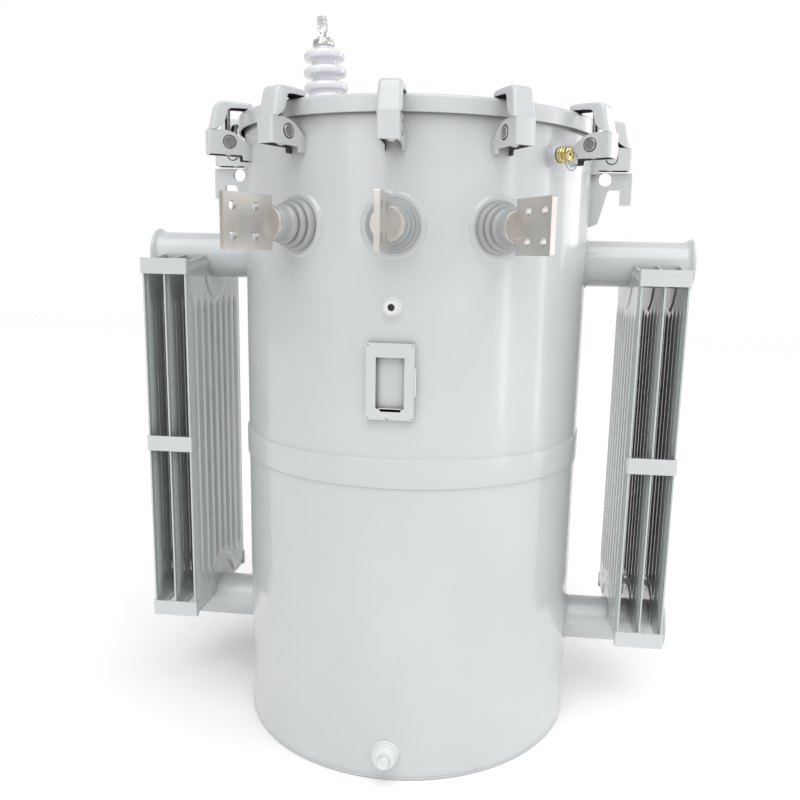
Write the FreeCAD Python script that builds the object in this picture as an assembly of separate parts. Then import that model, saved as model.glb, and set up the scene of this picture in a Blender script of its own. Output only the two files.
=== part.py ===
"""Single-phase pole-type distribution transformer with two plate-fin radiators.

Frame: +Z up, front towards -Y, origin on the floor at the middle of the round
tank's bottom.  All sizes are millimetres.  An azimuth is a turn about +Z,
counted from the front (-Y) towards +X, so the left radiator is at -90 degrees
and the right one at +90.

Pieces that stand on the round wall are first drawn in the front position,
where "out" is a distance from the tank's axis towards -Y, and then turned to
their azimuth.
"""
import FreeCAD, Part

import math
import os

from FreeCAD import Vector

# ---------------------------------------------------------------- tank
tank_od = 650.0            # outer diameter of the round wall
tank_wall = 4.5            # plate thickness of the wall
tank_height = 1143.0       # floor to the top edge of the wall
bottom_thk = 6.0           # bottom plate, flush under the wall
band_down = 609.0          # lower edge of the band round the middle, below the wall's top edge
band_height = 49.0
band_thk = 3.3

# ---------------------------------------------------------------- cover
cover_thk = 4.0
cover_overhang = 11.0      # how far the rim stands outside the wall
cover_rim = 27.0           # height of the turned-down rim
cover_rim_bend = 5.0       # outer bend radius between top and rim
cover_flat = 31.0          # flat margin under the clamps, inside the rim
cover_crown = 16.0         # rise of the domed middle
gasket_thk = 4.0
gasket_width = 12.0

# ---------------------------------------------------------------- cover clamps
clamp_count = 12
clamp_first_az = 0.0
clamp_reach = 72.0         # housing front, measured out from the wall
clamp_width = 34.0
clamp_sheet = 4.0
clamp_below_rim = 8.0      # housing top, down from the rim's lower edge
clamp_height = 40.0        # height of the housing's cheeks
clamp_leg = 8.0            # how far the cheeks' feet run on below them
clamp_leg_width = 13.0
clamp_corner = 20.0        # rounded upper corner beside the wall
clamp_pin_out = 36.0       # pin axis, out from the wall
clamp_pin_down = 19.0      # pin axis, down from the housing's top
clamp_pin_d = 19.6
clamp_pin_gap = 1.2        # clearance round the pin in the cheeks
clamp_pin_proud = 1.0      # how far each pin end stands out of its cheek
hook_inset = 1.0           # hook narrower than the housing, each side
hook_sheet = 3.5
hook_rise = 12.0           # hook's top above the cover's flat margin
hook_tip_in = 16.0         # how far the hook reaches in over the cover's edge
hook_tip_width = 8.0       # seat of the turned-down tip on the cover
hook_front_top = 58.0      # front of the hook near its top, out from the wall
hook_front_foot = 68.0     # front of the hook at its foot, out from the wall
hook_foot = 8.0            # depth of the flanges at the foot
hook_flange_in = 37.0      # inner edge of the flanges near the top
stud_d = 10.0
stud_hole_gap = 0.3
nut_flats = 17.0
nut_height = 9.0

# ---------------------------------------------------------------- lifting lugs
lug_thk = 10.0
lug_reach = 77.0           # outer face, out from the wall
lug_top_gap = 4.0          # below the clamp housing above it
lug_height = 99.0
lug_root = 18.0            # width at the lower end
lug_neck_out = 33.0        # inner edge of the notch, out from the wall
lug_notch_width = 24.0
lug_notch_top = 31.0       # notch top, down from the lug's top
lug_leg_height = 58.0      # outer leg's foot, down from the lug's top
lug_hole_d = 24.4
lug_hole_out = 28.0
lug_hole_down = 12.0

# ---------------------------------------------------------------- low-voltage bushings
lv_azimuths = {"left": -30.0, "centre": 0.0, "right": 30.0}
lv_down = 186.0            # bushing axes, below the wall's top edge
lv_boss_margin = 9.0       # flat seat round the bushing's body
lv_boss_proud = 2.5        # flat seat, out from the wall
lv_shank_d = 48.0          # passes through the wall
lv_shank_in = 14.0         # how far the shank shows inside the wall
lv_hole_gap = 0.4
lv_body_d = 84.0
lv_body_len = 20.0
lv_groove_d = 62.0
lv_groove_len = 3.0
lv_shoulder_d = 68.0
lv_shoulder_len = 10.0
lv_neck_d = 54.0
lv_neck_len = 24.0
lv_disc_d = 52.0
lv_disc_len = 5.0
spade_thk = 8.5
spade_len = 98.0
spade_height = 84.0
spade_pitch = 44.45        # square four-hole pad
spade_hole_d = 14.3
spade_edge = 18.0          # outer holes to the end of the spade

# ---------------------------------------------------------------- high-voltage bushing
hv_in = 106.0              # bushing axis, in from the dome's edge
hv_az = -107.5
hv_flange_width = 13.0     # ring round the bushing's foot
hv_flange_thk = 10.0
hv_base_d = 78.0
hv_base_len = 66.0         # plain body from the flange to under the lowest shed
hv_shed_d = (88.0, 86.0, 81.0)   # lowest shed first
hv_shed_pitch = 30.0
hv_shed_thk = 17.0
hv_neck_d = 48.0
hv_top_d = 37.0
hv_top_len = 9.0
hv_cap_d = 43.0
hv_cap_len = 12.0
hv_eye_d = 11.0            # opening of the eyebolt for the wire
hv_eye_ring = 4.0
hv_eye_thk = 12.0
hv_eye_rise = 22.0         # centre of the eye above the cap
hv_nut_d = 20.0
hv_nut_len = 15.0

# ---------------------------------------------------------------- fittings on the wall
relief_az = 47.8
relief_down = 67.0         # valve axis, below the wall's top edge
relief_coupling_d = 31.0
relief_coupling_len = 19.0
relief_body_d = 25.0
relief_body_len = 10.0
relief_neck_d = 18.0
relief_neck_len = 5.0
relief_end_d = 22.0
relief_end_len = 7.0
relief_stem_d = 3.0
relief_stem_len = 4.0
pull_ring_d = 27.0
pull_ring_wire = 1.8
level_down = 312.0         # port axis, below the wall's top edge
level_d = 24.0
level_len = 12.0
level_base_d = 30.0        # wider foot against the wall
level_base_len = 4.0
level_bore_d = 11.0
level_bore_depth = 8.0
plate_down = 368.0         # nameplate frame's upper edge, below the wall's top edge
plate_height = 124.0
plate_width = 78.0
plate_thk = 2.5
plate_off = 12.0           # face of the frame, out from the wall
plate_lip = 6.0            # depth of the lips folded back along the top and bottom
plate_window_width = 46.0
plate_window_low = 18.0    # window's lower edge, up from the frame's
plate_window_high = 101.0
plate_relief_d = 2.4       # relief hole where two folds meet, one in each corner
drain_z = 51.0
drain_boss_d = 46.0
drain_boss_len = 12.0
drain_slot_width = 2.0     # slot in the boss's upper side
drain_slot_len = 7.0
drain_slot_depth = 4.0
drain_slot_x = 3.0
drain_step_d = 42.0
drain_step_len = 3.0
drain_collar_d = 36.0
drain_collar_len = 6.0
drain_hex = 19.0           # across flats
drain_hex_len = 12.0
drain_hex_chamfer = 1.5

# ---------------------------------------------------------------- radiators
header_od = 86.0
header_wall = 4.0
upper_header_down = 238.0  # pipe axis, below the wall's top edge
lower_header_z = 185.0
header_proud = 14.0        # pipe end past the outer fin
header_cap_d = 100.0
header_cap_flare = 8.0
header_cap_thk = 3.0
fin_count = 3
fin_first_off = 87.0       # middle of the inner fin, out from the wall
fin_pitch = 40.0
fin_width = 292.0          # front to back
fin_thk = 12.0             # over the pressed panel
fin_seam = 3.0             # the two sheets together, at the welded edge
fin_margin = 11.0          # width of that edge
fin_flutes = 8
fin_valley = 5.0           # panel thickness between two flutes
fin_low_up = 13.0          # fin's lower edge, above the lower pipe's axis
fin_high_down = 15.0       # fin's upper corners, below the upper pipe's axis
fin_plain = 62.0           # flat ends of the panel, above and below the flutes
strap_height = 29.0
strap_thk = 3.0
strap_return = 16.0
strap_low_up = 12.0        # lowest strap's lower edge, above the lower pipe's axis
strap_high_down = 36.0     # highest strap's lower edge, below the upper pipe's axis

# ---------------------------------------------------------------- shared values
tank_r = tank_od / 2
gasket_top = tank_height + gasket_thk
cover_top = gasket_top + cover_thk          # the flat margin's upper face
cover_r = tank_r + cover_overhang
rim_low = cover_top - cover_rim
clamp_top = rim_low - clamp_below_rim
clamp_low = clamp_top - clamp_height
lug_top = clamp_low - lug_top_gap
band_z = tank_height - band_down
hook_width = clamp_width - 2 * hook_inset
lv_z = tank_height - lv_down
lv_boss_d = lv_body_d + 2 * lv_boss_margin
lv_seat = tank_r + lv_boss_proud
lv_disc_face = lv_seat + lv_body_len + lv_groove_len + lv_shoulder_len + lv_neck_len
dome_r = cover_r - cover_flat
dome_radius = (dome_r ** 2 + cover_crown ** 2) / (2 * cover_crown)
hv_out = dome_r - hv_in                     # from the tank's axis, on the dome
hv_flange_d = hv_base_d + 2 * hv_flange_width
relief_z = tank_height - relief_down
level_z = tank_height - level_down
plate_z = tank_height - plate_down - plate_height
upper_header_z = tank_height - upper_header_down
fin_first = tank_r + fin_first_off
fin_last_face = fin_first + (fin_count - 1) * fin_pitch + fin_thk / 2
header_end = fin_last_face + header_proud
fin_low = lower_header_z + fin_low_up
fin_high = upper_header_z - fin_high_down
strap_low = lower_header_z + strap_low_up
strap_high = upper_header_z - strap_high_down
front_strap_z = (strap_low, (strap_low + strap_high) / 2, strap_high)
back_strap_z = (strap_low, strap_high)
OVER = 20.0                # how far a cutting tool runs past what it cuts


def export(name, *solids):
    """Write one node, checking that every solid of it is sound."""
    solids = [s for shape in solids for s in shape.Solids]
    for solid in solids:
        if not solid.isValid() or solid.Volume <= 0:
            raise ValueError("bad solid in " + name)
    shape = solids[0] if len(solids) == 1 else Part.makeCompound(solids)
    shape.exportStep("parts/" + name + ".step")
    print(name, len(solids), "solid(s), volume", round(shape.Volume / 1000), "cm3")


def line(a, b):
    return Part.LineSegment(a, b).toShape()


def arc(a, mid, b):
    return Part.Arc(a, mid, b).toShape()


def polygon(points):
    return Part.Face(Part.makePolygon(points + [points[0]]))


def revolve_up(profile):
    """Turn a closed outline of (radius, z) points round the Z axis."""
    face = polygon([Vector(r, 0, z) for r, z in profile])
    return face.revolve(Vector(0, 0, 0), Vector(0, 0, 1), 360)


def cylinder_up(d, z0, z1, x=0.0, y=0.0):
    return Part.makeCylinder(d / 2, z1 - z0, Vector(x, y, z0), Vector(0, 0, 1))


def cylinder_out(d, out0, out1, z, x=0.0):
    """A round bar that points out of the tank's front, from out0 to out1."""
    return Part.makeCylinder(d / 2, out1 - out0, Vector(x, -out0, z), Vector(0, -1, 0))


def cylinder_across(d, half, out, z):
    """A round bar along X, centred, at a distance out from the tank's axis."""
    return Part.makeCylinder(d / 2, 2 * half, Vector(-half, -out, z), Vector(1, 0, 0))


def slab(outline, width):
    """An outline of (out, z) points, as thick as width, centred on the front."""
    face = polygon([Vector(-width / 2, -out, z) for out, z in outline])
    return face.extrude(Vector(width, 0, 0))


def box(x0, x1, y0, y1, z0, z1):
    return Part.makeBox(x1 - x0, y1 - y0, z1 - z0, Vector(x0, y0, z0))


def turned(shape, azimuth):
    """A copy of a shape drawn at the front, turned about Z to its azimuth."""
    copy = shape.copy()
    copy.rotate(Vector(0, 0, 0), Vector(0, 0, 1), azimuth)
    return copy


def hexagon_up(flats, z0, z1, out):
    corner = flats / math.sqrt(3)
    points = []
    for k in range(6):
        angle = math.radians(60 * k + 30)
        points.append(Vector(corner * math.cos(angle), -out + corner * math.sin(angle), z0))
    return polygon(points).extrude(Vector(0, 0, z1 - z0))


def hexagon_out(flats, out, length, z):
    """A hexagonal head that points out of the front, its outer corners chamfered."""
    corner = flats / math.sqrt(3)
    points = []
    for k in range(6):
        angle = math.radians(60 * k)
        points.append(Vector(corner * math.cos(angle), -out, z + corner * math.sin(angle)))
    head = polygon(points).extrude(Vector(0, -length, 0))
    cut = drain_hex_chamfer
    cone = Part.makeCone(corner, corner - cut, cut, Vector(0, cut - out - length, z), Vector(0, -1, 0))
    round_part = cylinder_out(2 * corner, out, out + length - cut, z)
    return head.common(round_part.fuse(cone))


def wall_solid():
    """The room inside the wall's outer face, to trim what stands on it."""
    return cylinder_up(tank_od, -OVER, cover_top + OVER)


def dome_height(radius, drop=0.0):
    """Height of the domed cover, drop below its upper face."""
    centre = cover_top + cover_crown - dome_radius
    return centre + math.sqrt((dome_radius - drop) ** 2 - radius ** 2)


# ---------------------------------------------------------------- tank and cover

def tank_pieces():
    wall = cylinder_up(tank_od, bottom_thk, tank_height)
    wall = wall.cut(cylinder_up(tank_od - 2 * tank_wall, bottom_thk, tank_height))
    inside = tank_r - tank_wall - OVER
    for azimuth in lv_azimuths.values():
        hole = cylinder_out(lv_shank_d + 2 * lv_hole_gap, inside, tank_r + OVER, lv_z)
        wall = wall.cut(turned(hole, azimuth))
    for side in (-90, 90):
        for z in (upper_header_z, lower_header_z):
            hole = cylinder_out(header_od - 2 * header_wall, inside, tank_r + OVER, z)
            wall = wall.cut(turned(hole, side))
    export("tank_wall", wall)
    export("tank_bottom", cylinder_up(tank_od, 0, bottom_thk))

    band = cylinder_up(tank_od + 2 * band_thk, band_z, band_z + band_height)
    export("tank_band", band.cut(cylinder_up(tank_od, band_z, band_z + band_height)))


def cover_pieces():
    bend = cover_rim_bend
    inner_r = cover_r - cover_thk
    slant = bend * (1 - math.sqrt(0.5))
    outer_mid = dome_r / 2
    points = [
        Vector(0, 0, cover_top + cover_crown),
        Vector(dome_r, 0, cover_top),
        Vector(cover_r - bend, 0, cover_top),
        Vector(cover_r, 0, cover_top - bend),
        Vector(cover_r, 0, rim_low),
        Vector(inner_r, 0, rim_low),
        Vector(inner_r, 0, gasket_top),
        Vector(dome_r, 0, gasket_top),
        Vector(0, 0, gasket_top + cover_crown),
    ]
    under_mid = gasket_top + dome_height(outer_mid) - cover_top
    edges = [
        arc(points[0], Vector(outer_mid, 0, dome_height(outer_mid)), points[1]),
        line(points[1], points[2]),
        arc(points[2], Vector(cover_r - slant, 0, cover_top - slant), points[3]),
        line(points[3], points[4]),
        line(points[4], points[5]),
        line(points[5], points[6]),
        line(points[6], points[7]),
        arc(points[7], Vector(outer_mid, 0, under_mid), points[8]),
        line(points[8], points[0]),
    ]
    face = Part.Face(Part.Wire(edges))
    export("cover", face.revolve(Vector(0, 0, 0), Vector(0, 0, 1), 360))

    gasket_out = tank_r + (gasket_width - tank_wall) / 2
    export("cover_gasket", revolve_up([
        (gasket_out - gasket_width, tank_height), (gasket_out, tank_height),
        (gasket_out, gasket_top), (gasket_out - gasket_width, gasket_top)]))


# ---------------------------------------------------------------- clamps

def clamp_housing():
    """A bent channel: two cheeks and a front, open above, below and at the wall."""
    front = tank_r + clamp_reach
    leg_out = tank_r + clamp_leg_width
    corner = clamp_corner
    back = tank_r - OVER
    edges = [
        line(Vector(0, -back, clamp_low - clamp_leg), Vector(0, -leg_out, clamp_low - clamp_leg)),
        line(Vector(0, -leg_out, clamp_low - clamp_leg), Vector(0, -leg_out, clamp_low)),
        line(Vector(0, -leg_out, clamp_low), Vector(0, -front, clamp_low)),
        line(Vector(0, -front, clamp_low), Vector(0, -front, clamp_top)),
        line(Vector(0, -front, clamp_top), Vector(0, -tank_r - corner, clamp_top)),
        arc(Vector(0, -tank_r - corner, clamp_top),
            Vector(0, -tank_r - corner * (1 - math.sqrt(0.5)), clamp_top - corner * (1 - math.sqrt(0.5))),
            Vector(0, -tank_r, clamp_top - corner)),
        line(Vector(0, -tank_r, clamp_top - corner), Vector(0, -back, clamp_top - corner)),
        line(Vector(0, -back, clamp_top - corner), Vector(0, -back, clamp_low - clamp_leg)),
    ]
    body = Part.Face(Part.Wire(edges)).extrude(Vector(clamp_width, 0, 0))
    body.translate(Vector(-clamp_width / 2, 0, 0))
    inner = clamp_width / 2 - clamp_sheet
    body = body.cut(box(-inner, inner, clamp_sheet - front, 0, clamp_low - 2 * OVER, clamp_top + OVER))
    body = body.cut(wall_solid())
    pin_z = clamp_top - clamp_pin_down
    hole = cylinder_across(clamp_pin_d + 2 * clamp_pin_gap, clamp_width, tank_r + clamp_pin_out, pin_z)
    return body.cut(hole)


def clamp_hook():
    """The upper half: a pressed channel from the cover's edge to the housing's front."""
    top = cover_top + hook_rise
    tip = cover_r - hook_tip_in
    front_top = tank_r + hook_front_top
    front_foot = tank_r + hook_front_foot
    flange = tank_r + hook_flange_in
    under = cover_top + 2
    outline_points = {
        "tip_low": (tip, cover_top),
        "tip_top": (tip, top - 3),
        "crest": (tip + 6, top),
        "brow": (front_top - 20, top),
        "front_top": (front_top, top - 8),
        "front_foot": (front_foot, clamp_top),
        "foot": (front_foot - hook_foot, clamp_top),
        "waist": (flange + 4, (clamp_top + under) / 2),
        "armpit": (flange, under - 3),
        "under": (flange - 12, under),
        "seat": (tip + hook_tip_width, under),
        "seat_low": (tip + hook_tip_width, cover_top),
    }
    p = {name: Vector(0, -out, z) for name, (out, z) in outline_points.items()}
    brow_mid = Vector(0, -(front_top - 5), top - 2)
    calf_mid = Vector(0, -(flange + 10), clamp_top + 6)
    edges = [
        line(p["tip_low"], p["tip_top"]),
        line(p["tip_top"], p["crest"]),
        line(p["crest"], p["brow"]),
        arc(p["brow"], brow_mid, p["front_top"]),
        line(p["front_top"], p["front_foot"]),
        line(p["front_foot"], p["foot"]),
        arc(p["foot"], calf_mid, p["waist"]),
        line(p["waist"], p["armpit"]),
        line(p["armpit"], p["under"]),
        line(p["under"], p["seat"]),
        line(p["seat"], p["seat_low"]),
        line(p["seat_low"], p["tip_low"]),
    ]
    body = Part.Face(Part.Wire(edges)).extrude(Vector(hook_width, 0, 0))
    body.translate(Vector(-hook_width / 2, 0, 0))
    sheet = hook_sheet
    hollow = slab([
        (tip + hook_tip_width, clamp_top - OVER), (tip + hook_tip_width, top - sheet),
        (front_top - 18, top - sheet), (front_top - sheet, top - 8 - sheet / 2),
        (front_foot - sheet, clamp_top), (front_foot - sheet, clamp_top - OVER)],
        hook_width - 2 * sheet)
    return body.cut(hollow)


def clamp_pin():
    pin_z = clamp_top - clamp_pin_down
    half = clamp_width / 2 + clamp_pin_proud
    pin = cylinder_across(clamp_pin_d, half, tank_r + clamp_pin_out, pin_z)
    hole = cylinder_up(stud_d + 2 * stud_hole_gap, clamp_low - OVER, clamp_top + OVER, 0, -tank_r - clamp_pin_out)
    return pin.cut(hole)


def clamp_stud():
    """The stud that pulls the hook down to the pin, with its nut below the pin."""
    out = tank_r + clamp_pin_out
    nut_top = clamp_top - clamp_pin_down - clamp_pin_d / 2
    stud = cylinder_up(stud_d, nut_top - nut_height - 2, cover_top + hook_rise - hook_sheet, 0, -out)
    return stud.fuse(hexagon_up(nut_flats, nut_top - nut_height, nut_top, out)).removeSplitter()


def clamp_pieces():
    azimuths = [clamp_first_az + 360.0 / clamp_count * k for k in range(clamp_count)]
    makers = {"clamp_housings": clamp_housing, "clamp_hooks": clamp_hook,
              "clamp_pins": clamp_pin, "clamp_studs": clamp_stud}
    for name, maker in makers.items():
        one = maker()
        export(name, *[turned(one, azimuth) for azimuth in azimuths])


# ---------------------------------------------------------------- lifting lugs

def lug():
    notch_in = tank_r + lug_neck_out
    outline = [
        (tank_r - OVER, lug_top - lug_height),
        (tank_r + lug_root * 0.2, lug_top - lug_height),
        (tank_r + lug_root, lug_top - lug_height + 5),
        (notch_in, lug_top - lug_notch_top - 4),
        (notch_in + 4, lug_top - lug_notch_top),
        (notch_in + lug_notch_width, lug_top - lug_notch_top),
        (notch_in + lug_notch_width, lug_top - lug_leg_height),
        (tank_r + lug_reach, lug_top - lug_leg_height),
        (tank_r + lug_reach, lug_top),
        (tank_r - OVER, lug_top),
    ]
    plate = slab(outline, lug_thk).cut(wall_solid())
    hole = cylinder_across(lug_hole_d, lug_thk, tank_r + lug_hole_out, lug_top - lug_hole_down)
    return plate.cut(hole)


# ---------------------------------------------------------------- bushings

def lv_boss():
    """The flat seat raised on the round wall, under one bushing."""
    seat = cylinder_out(lv_boss_d, tank_r - OVER, lv_seat, lv_z).cut(wall_solid())
    hole = cylinder_out(lv_shank_d + 2 * lv_hole_gap, tank_r - OVER, lv_seat + OVER, lv_z)
    return seat.cut(hole)


def lv_bushing():
    steps = [(lv_body_d, lv_body_len), (lv_groove_d, lv_groove_len),
             (lv_shoulder_d, lv_shoulder_len), (lv_neck_d, lv_neck_len)]
    body = cylinder_out(lv_shank_d, tank_r - tank_wall - lv_shank_in, lv_seat, lv_z)
    out = lv_seat
    for d, length in steps:
        body = body.fuse(cylinder_out(d, out, out + length, lv_z))
        out += length
    return body.removeSplitter()


def lv_spade():
    """The metal disc in the bushing's end and the upright plate that stands on it."""
    disc = cylinder_out(lv_disc_d, lv_disc_face, lv_disc_face + lv_disc_len, lv_z)
    end = lv_disc_face + spade_len
    plate = box(-spade_thk / 2, spade_thk / 2, -end, -lv_disc_face,
                lv_z - spade_height / 2, lv_z + spade_height / 2)
    spade = disc.fuse(plate).removeSplitter()
    for out in (end - spade_edge, end - spade_edge - spade_pitch):
        for dz in (-spade_pitch / 2, spade_pitch / 2):
            spade = spade.cut(cylinder_across(spade_hole_d, spade_thk, out, lv_z + dz))
    return spade


def lv_pieces():
    for name, azimuth in lv_azimuths.items():
        export("lv_boss_" + name, turned(lv_boss(), azimuth))
        export("lv_bushing_" + name, turned(lv_bushing(), azimuth))
        export("lv_spade_" + name, turned(lv_spade(), azimuth))


def on_cover(shape):
    """Stand a shape, drawn upright over the origin, square to the dome at the bushing."""
    lean = math.degrees(math.asin(hv_out / dome_radius))
    copy = shape.copy()
    copy.rotate(Vector(0, 0, 0), Vector(1, 0, 0), lean)
    copy.translate(Vector(0, -hv_out, dome_height(hv_out)))
    copy.rotate(Vector(0, 0, 0), Vector(0, 0, 1), hv_az)
    return copy


def hv_pieces():
    # the flange dips a little below the tangent plane, and the dome trims it
    sink = 3.0
    ring = cylinder_up(hv_flange_d, -sink, hv_flange_thk)
    ring = ring.cut(cylinder_up(hv_base_d, -2 * sink, hv_flange_thk + OVER))
    dome = Part.makeSphere(dome_radius, Vector(0, 0, cover_top + cover_crown - dome_radius))
    export("hv_flange", on_cover(ring).cut(dome))

    z = hv_base_len
    shape = cylinder_up(hv_base_d, 0.3, z)
    for d in hv_shed_d:
        rim = hv_shed_thk / 2
        flat = d / 2 - rim
        edges = [
            line(Vector(0, 0, z), Vector(flat, 0, z)),
            arc(Vector(flat, 0, z), Vector(d / 2, 0, z + rim), Vector(flat, 0, z + 2 * rim)),
            line(Vector(flat, 0, z + 2 * rim), Vector(0, 0, z + 2 * rim)),
            line(Vector(0, 0, z + 2 * rim), Vector(0, 0, z)),
        ]
        shed = Part.Face(Part.Wire(edges)).revolve(Vector(0, 0, 0), Vector(0, 0, 1), 360)
        shape = shape.fuse(shed)
        shape = shape.fuse(cylinder_up(hv_neck_d, z, z + hv_shed_pitch))
        z += hv_shed_pitch
    z -= hv_shed_pitch - hv_shed_thk
    shape = shape.common(cylinder_up(2 * hv_flange_d, 0, z))
    shape = shape.fuse(cylinder_up(hv_top_d, z, z + hv_top_len)).removeSplitter()
    export("hv_bushing", on_cover(shape))

    z += hv_top_len
    export("hv_cap", on_cover(cylinder_up(hv_cap_d, z, z + hv_cap_len)))

    z += hv_cap_len
    eye_z = z + hv_eye_rise
    ring_d = hv_eye_d + 2 * hv_eye_ring
    eye = Part.makeCylinder(ring_d / 2, hv_eye_thk, Vector(0, -hv_eye_thk / 2, eye_z), Vector(0, 1, 0))
    eye = eye.fuse(cylinder_up(hv_eye_thk, z, eye_z))
    nut_low = eye_z + hv_eye_d / 2 + 1
    eye = eye.fuse(cylinder_up(hv_nut_d, nut_low, nut_low + hv_nut_len))
    eye = eye.cut(Part.makeCylinder(hv_eye_d / 2, 2 * OVER, Vector(0, -OVER, eye_z), Vector(0, 1, 0)))
    eye.rotate(Vector(0, 0, 0), Vector(0, 0, 1), -hv_az)
    export("hv_eyebolt", on_cover(eye.removeSplitter()))


# ---------------------------------------------------------------- fittings

def stack_out(steps, out, z):
    """Round steps of (diameter, length), one in front of the other."""
    shape = None
    for d, length in steps:
        step = cylinder_out(d, out, out + length, z)
        shape = step if shape is None else shape.fuse(step)
        out += length
    return shape.removeSplitter()


def relief_pieces():
    coupling_end = tank_r + relief_coupling_len
    coupling = cylinder_out(relief_coupling_d, tank_r - OVER, coupling_end, relief_z).cut(wall_solid())
    export("relief_coupling", turned(coupling, relief_az))
    steps = [(relief_body_d, relief_body_len), (relief_neck_d, relief_neck_len),
             (relief_end_d, relief_end_len), (relief_stem_d, relief_stem_len)]
    valve = stack_out(steps, coupling_end, relief_z)
    export("relief_valve", turned(valve, relief_az))

    # the ring hangs round the stem, its wire resting on the stem's top
    hang = coupling_end + relief_body_len + relief_neck_len + relief_end_len + relief_stem_len / 2
    centre = relief_z + relief_stem_d / 2 + pull_ring_wire / 2 - pull_ring_d / 2 + pull_ring_wire / 2
    ring = Part.makeTorus((pull_ring_d - pull_ring_wire) / 2, pull_ring_wire / 2,
                          Vector(0, -hang, centre), Vector(0, 1, 0))
    export("relief_pull_ring", turned(ring, relief_az))


def level_port():
    foot = cylinder_out(level_base_d, tank_r - OVER, tank_r + level_base_len, level_z)
    end = tank_r + level_len
    boss = foot.fuse(cylinder_out(level_d, tank_r - OVER, end, level_z)).cut(wall_solid())
    return boss.cut(cylinder_out(level_bore_d, end - level_bore_depth, end + OVER, level_z))


def nameplate_frame():
    """An empty folded frame: sides run back to the wall, short lips above and below."""
    face = tank_r + plate_off
    half = plate_width / 2
    plate = box(-half, half, -face, plate_thk - face, plate_z, plate_z + plate_height)
    for side in (-1, 1):
        edge = side * half
        x0, x1 = sorted((edge, edge - side * plate_thk))
        strip = box(x0, x1, -face, OVER - tank_r, plate_z, plate_z + plate_height)
        plate = plate.fuse(strip)
    for z in (plate_z, plate_z + plate_height - plate_thk):
        plate = plate.fuse(box(-half, half, -face, plate_lip - face, z, z + plate_thk))
    plate = plate.cut(wall_solid())
    window = plate_window_width / 2
    plate = plate.cut(box(-window, window, -face - OVER, -tank_r,
                          plate_z + plate_window_low, plate_z + plate_window_high))
    inset = plate_relief_d
    for x in (-half + inset, half - inset):
        for z in (plate_z + inset, plate_z + plate_height - inset):
            plate = plate.cut(cylinder_out(plate_relief_d, tank_r + 2, face + OVER, z, x))
    return plate.removeSplitter()


def drain_pieces():
    boss_end = tank_r + drain_boss_len
    boss = cylinder_out(drain_boss_d, tank_r - OVER, boss_end, drain_z).cut(wall_solid())
    slot_out = tank_r + (drain_boss_len - drain_slot_len) / 2
    slot_low = drain_z + drain_boss_d / 2 - drain_slot_depth
    slot = box(drain_slot_x - drain_slot_width / 2, drain_slot_x + drain_slot_width / 2,
               -slot_out - drain_slot_len, -slot_out, slot_low, slot_low + OVER)
    export("drain_coupling", boss.cut(slot))

    steps = [(drain_step_d, drain_step_len), (drain_collar_d, drain_collar_len)]
    collar = stack_out(steps, boss_end, drain_z)
    end = boss_end + drain_step_len + drain_collar_len
    export("drain_plug", collar.fuse(hexagon_out(drain_hex, end, drain_hex_len, drain_z)).removeSplitter())


# ---------------------------------------------------------------- radiators

def header_pipe(z):
    pipe = cylinder_out(header_od, tank_r - OVER, header_end, z)
    pipe = pipe.cut(cylinder_out(header_od - 2 * header_wall, tank_r - 2 * OVER, header_end + OVER, z))
    return pipe.cut(wall_solid())


def header_cap(z):
    """A dished end that flares past the pipe and closes it."""
    out = header_end
    flare = header_cap_flare
    inner, outer = header_od / 2 - header_wall, header_cap_d / 2
    profile = [(0, out), (inner, out), (header_od / 2, out), (outer, out + flare),
               (outer, out + flare + 2), (0, out + header_cap_thk + flare)]
    face = polygon([Vector(0, -o, z + r) for r, o in profile])
    return face.revolve(Vector(0, 0, z), Vector(0, 1, 0), 360)


def fin(out):
    """One pressed fin, its sheets meeting in a thin seam round a fluted panel."""
    half = fin_width / 2
    crest, valley, seam = fin_thk / 2, fin_valley / 2, fin_seam / 2
    panel = half - fin_margin
    pitch = 2 * panel / fin_flutes

    def plate(half_width, half_thk, low, high, crest_high):
        """A plate across X whose upper edge rises towards the header."""
        x = header_od / 2
        outline = [(-half_width, low), (half_width, low), (half_width, high), (x, crest_high),
                   (-x, crest_high), (-half_width, high)]
        face = polygon([Vector(px, half_thk - out, pz) for px, pz in outline])
        return face.extrude(Vector(0, -2 * half_thk, 0))

    shape = plate(half, seam, fin_low, fin_high, upper_header_z)
    ends = plate(panel, crest, fin_low + fin_margin, fin_high - fin_margin, upper_header_z - fin_margin)
    flute_low, flute_high = fin_low + fin_plain, fin_high - fin_plain
    ends = ends.cut(box(-half, half, -out - OVER, OVER - out, flute_low, flute_high))
    shape = shape.fuse(ends)

    front, back = [], []
    for k in range(fin_flutes):
        x0 = -panel + k * pitch
        for share, depth in ((0.0, valley), (0.25, crest), (0.75, crest), (1.0, valley)):
            if share == 1.0 and k < fin_flutes - 1:
                continue
            front.append(Vector(x0 + share * pitch, -out - depth, flute_low))
            back.append(Vector(x0 + share * pitch, -out + depth, flute_low))
    shape = shape.fuse(polygon(front + back[::-1]).extrude(Vector(0, 0, flute_high - flute_low)))

    for z in (upper_header_z, lower_header_z):
        shape = shape.cut(cylinder_out(header_od, out - OVER, out + OVER, z))
    return shape.removeSplitter()


def strap(z, side):
    """A channel across the fins' edges, front (side 1) or back (-1)."""
    half = fin_width / 2
    in_face = fin_first - fin_thk / 2
    out_face = fin_last_face
    thk = strap_thk

    def bar(x0, x1, out0, out1):
        lo, hi = sorted((side * x0, side * x1))
        return box(lo, hi, -out1, -out0, z, z + strap_height)

    web = bar(half, half + thk, in_face - thk, out_face + thk)
    near = bar(half - strap_return, half, in_face - thk, in_face)
    far = bar(half - strap_return, half, out_face, out_face + thk)
    return web.fuse(near).fuse(far).removeSplitter()


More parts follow.
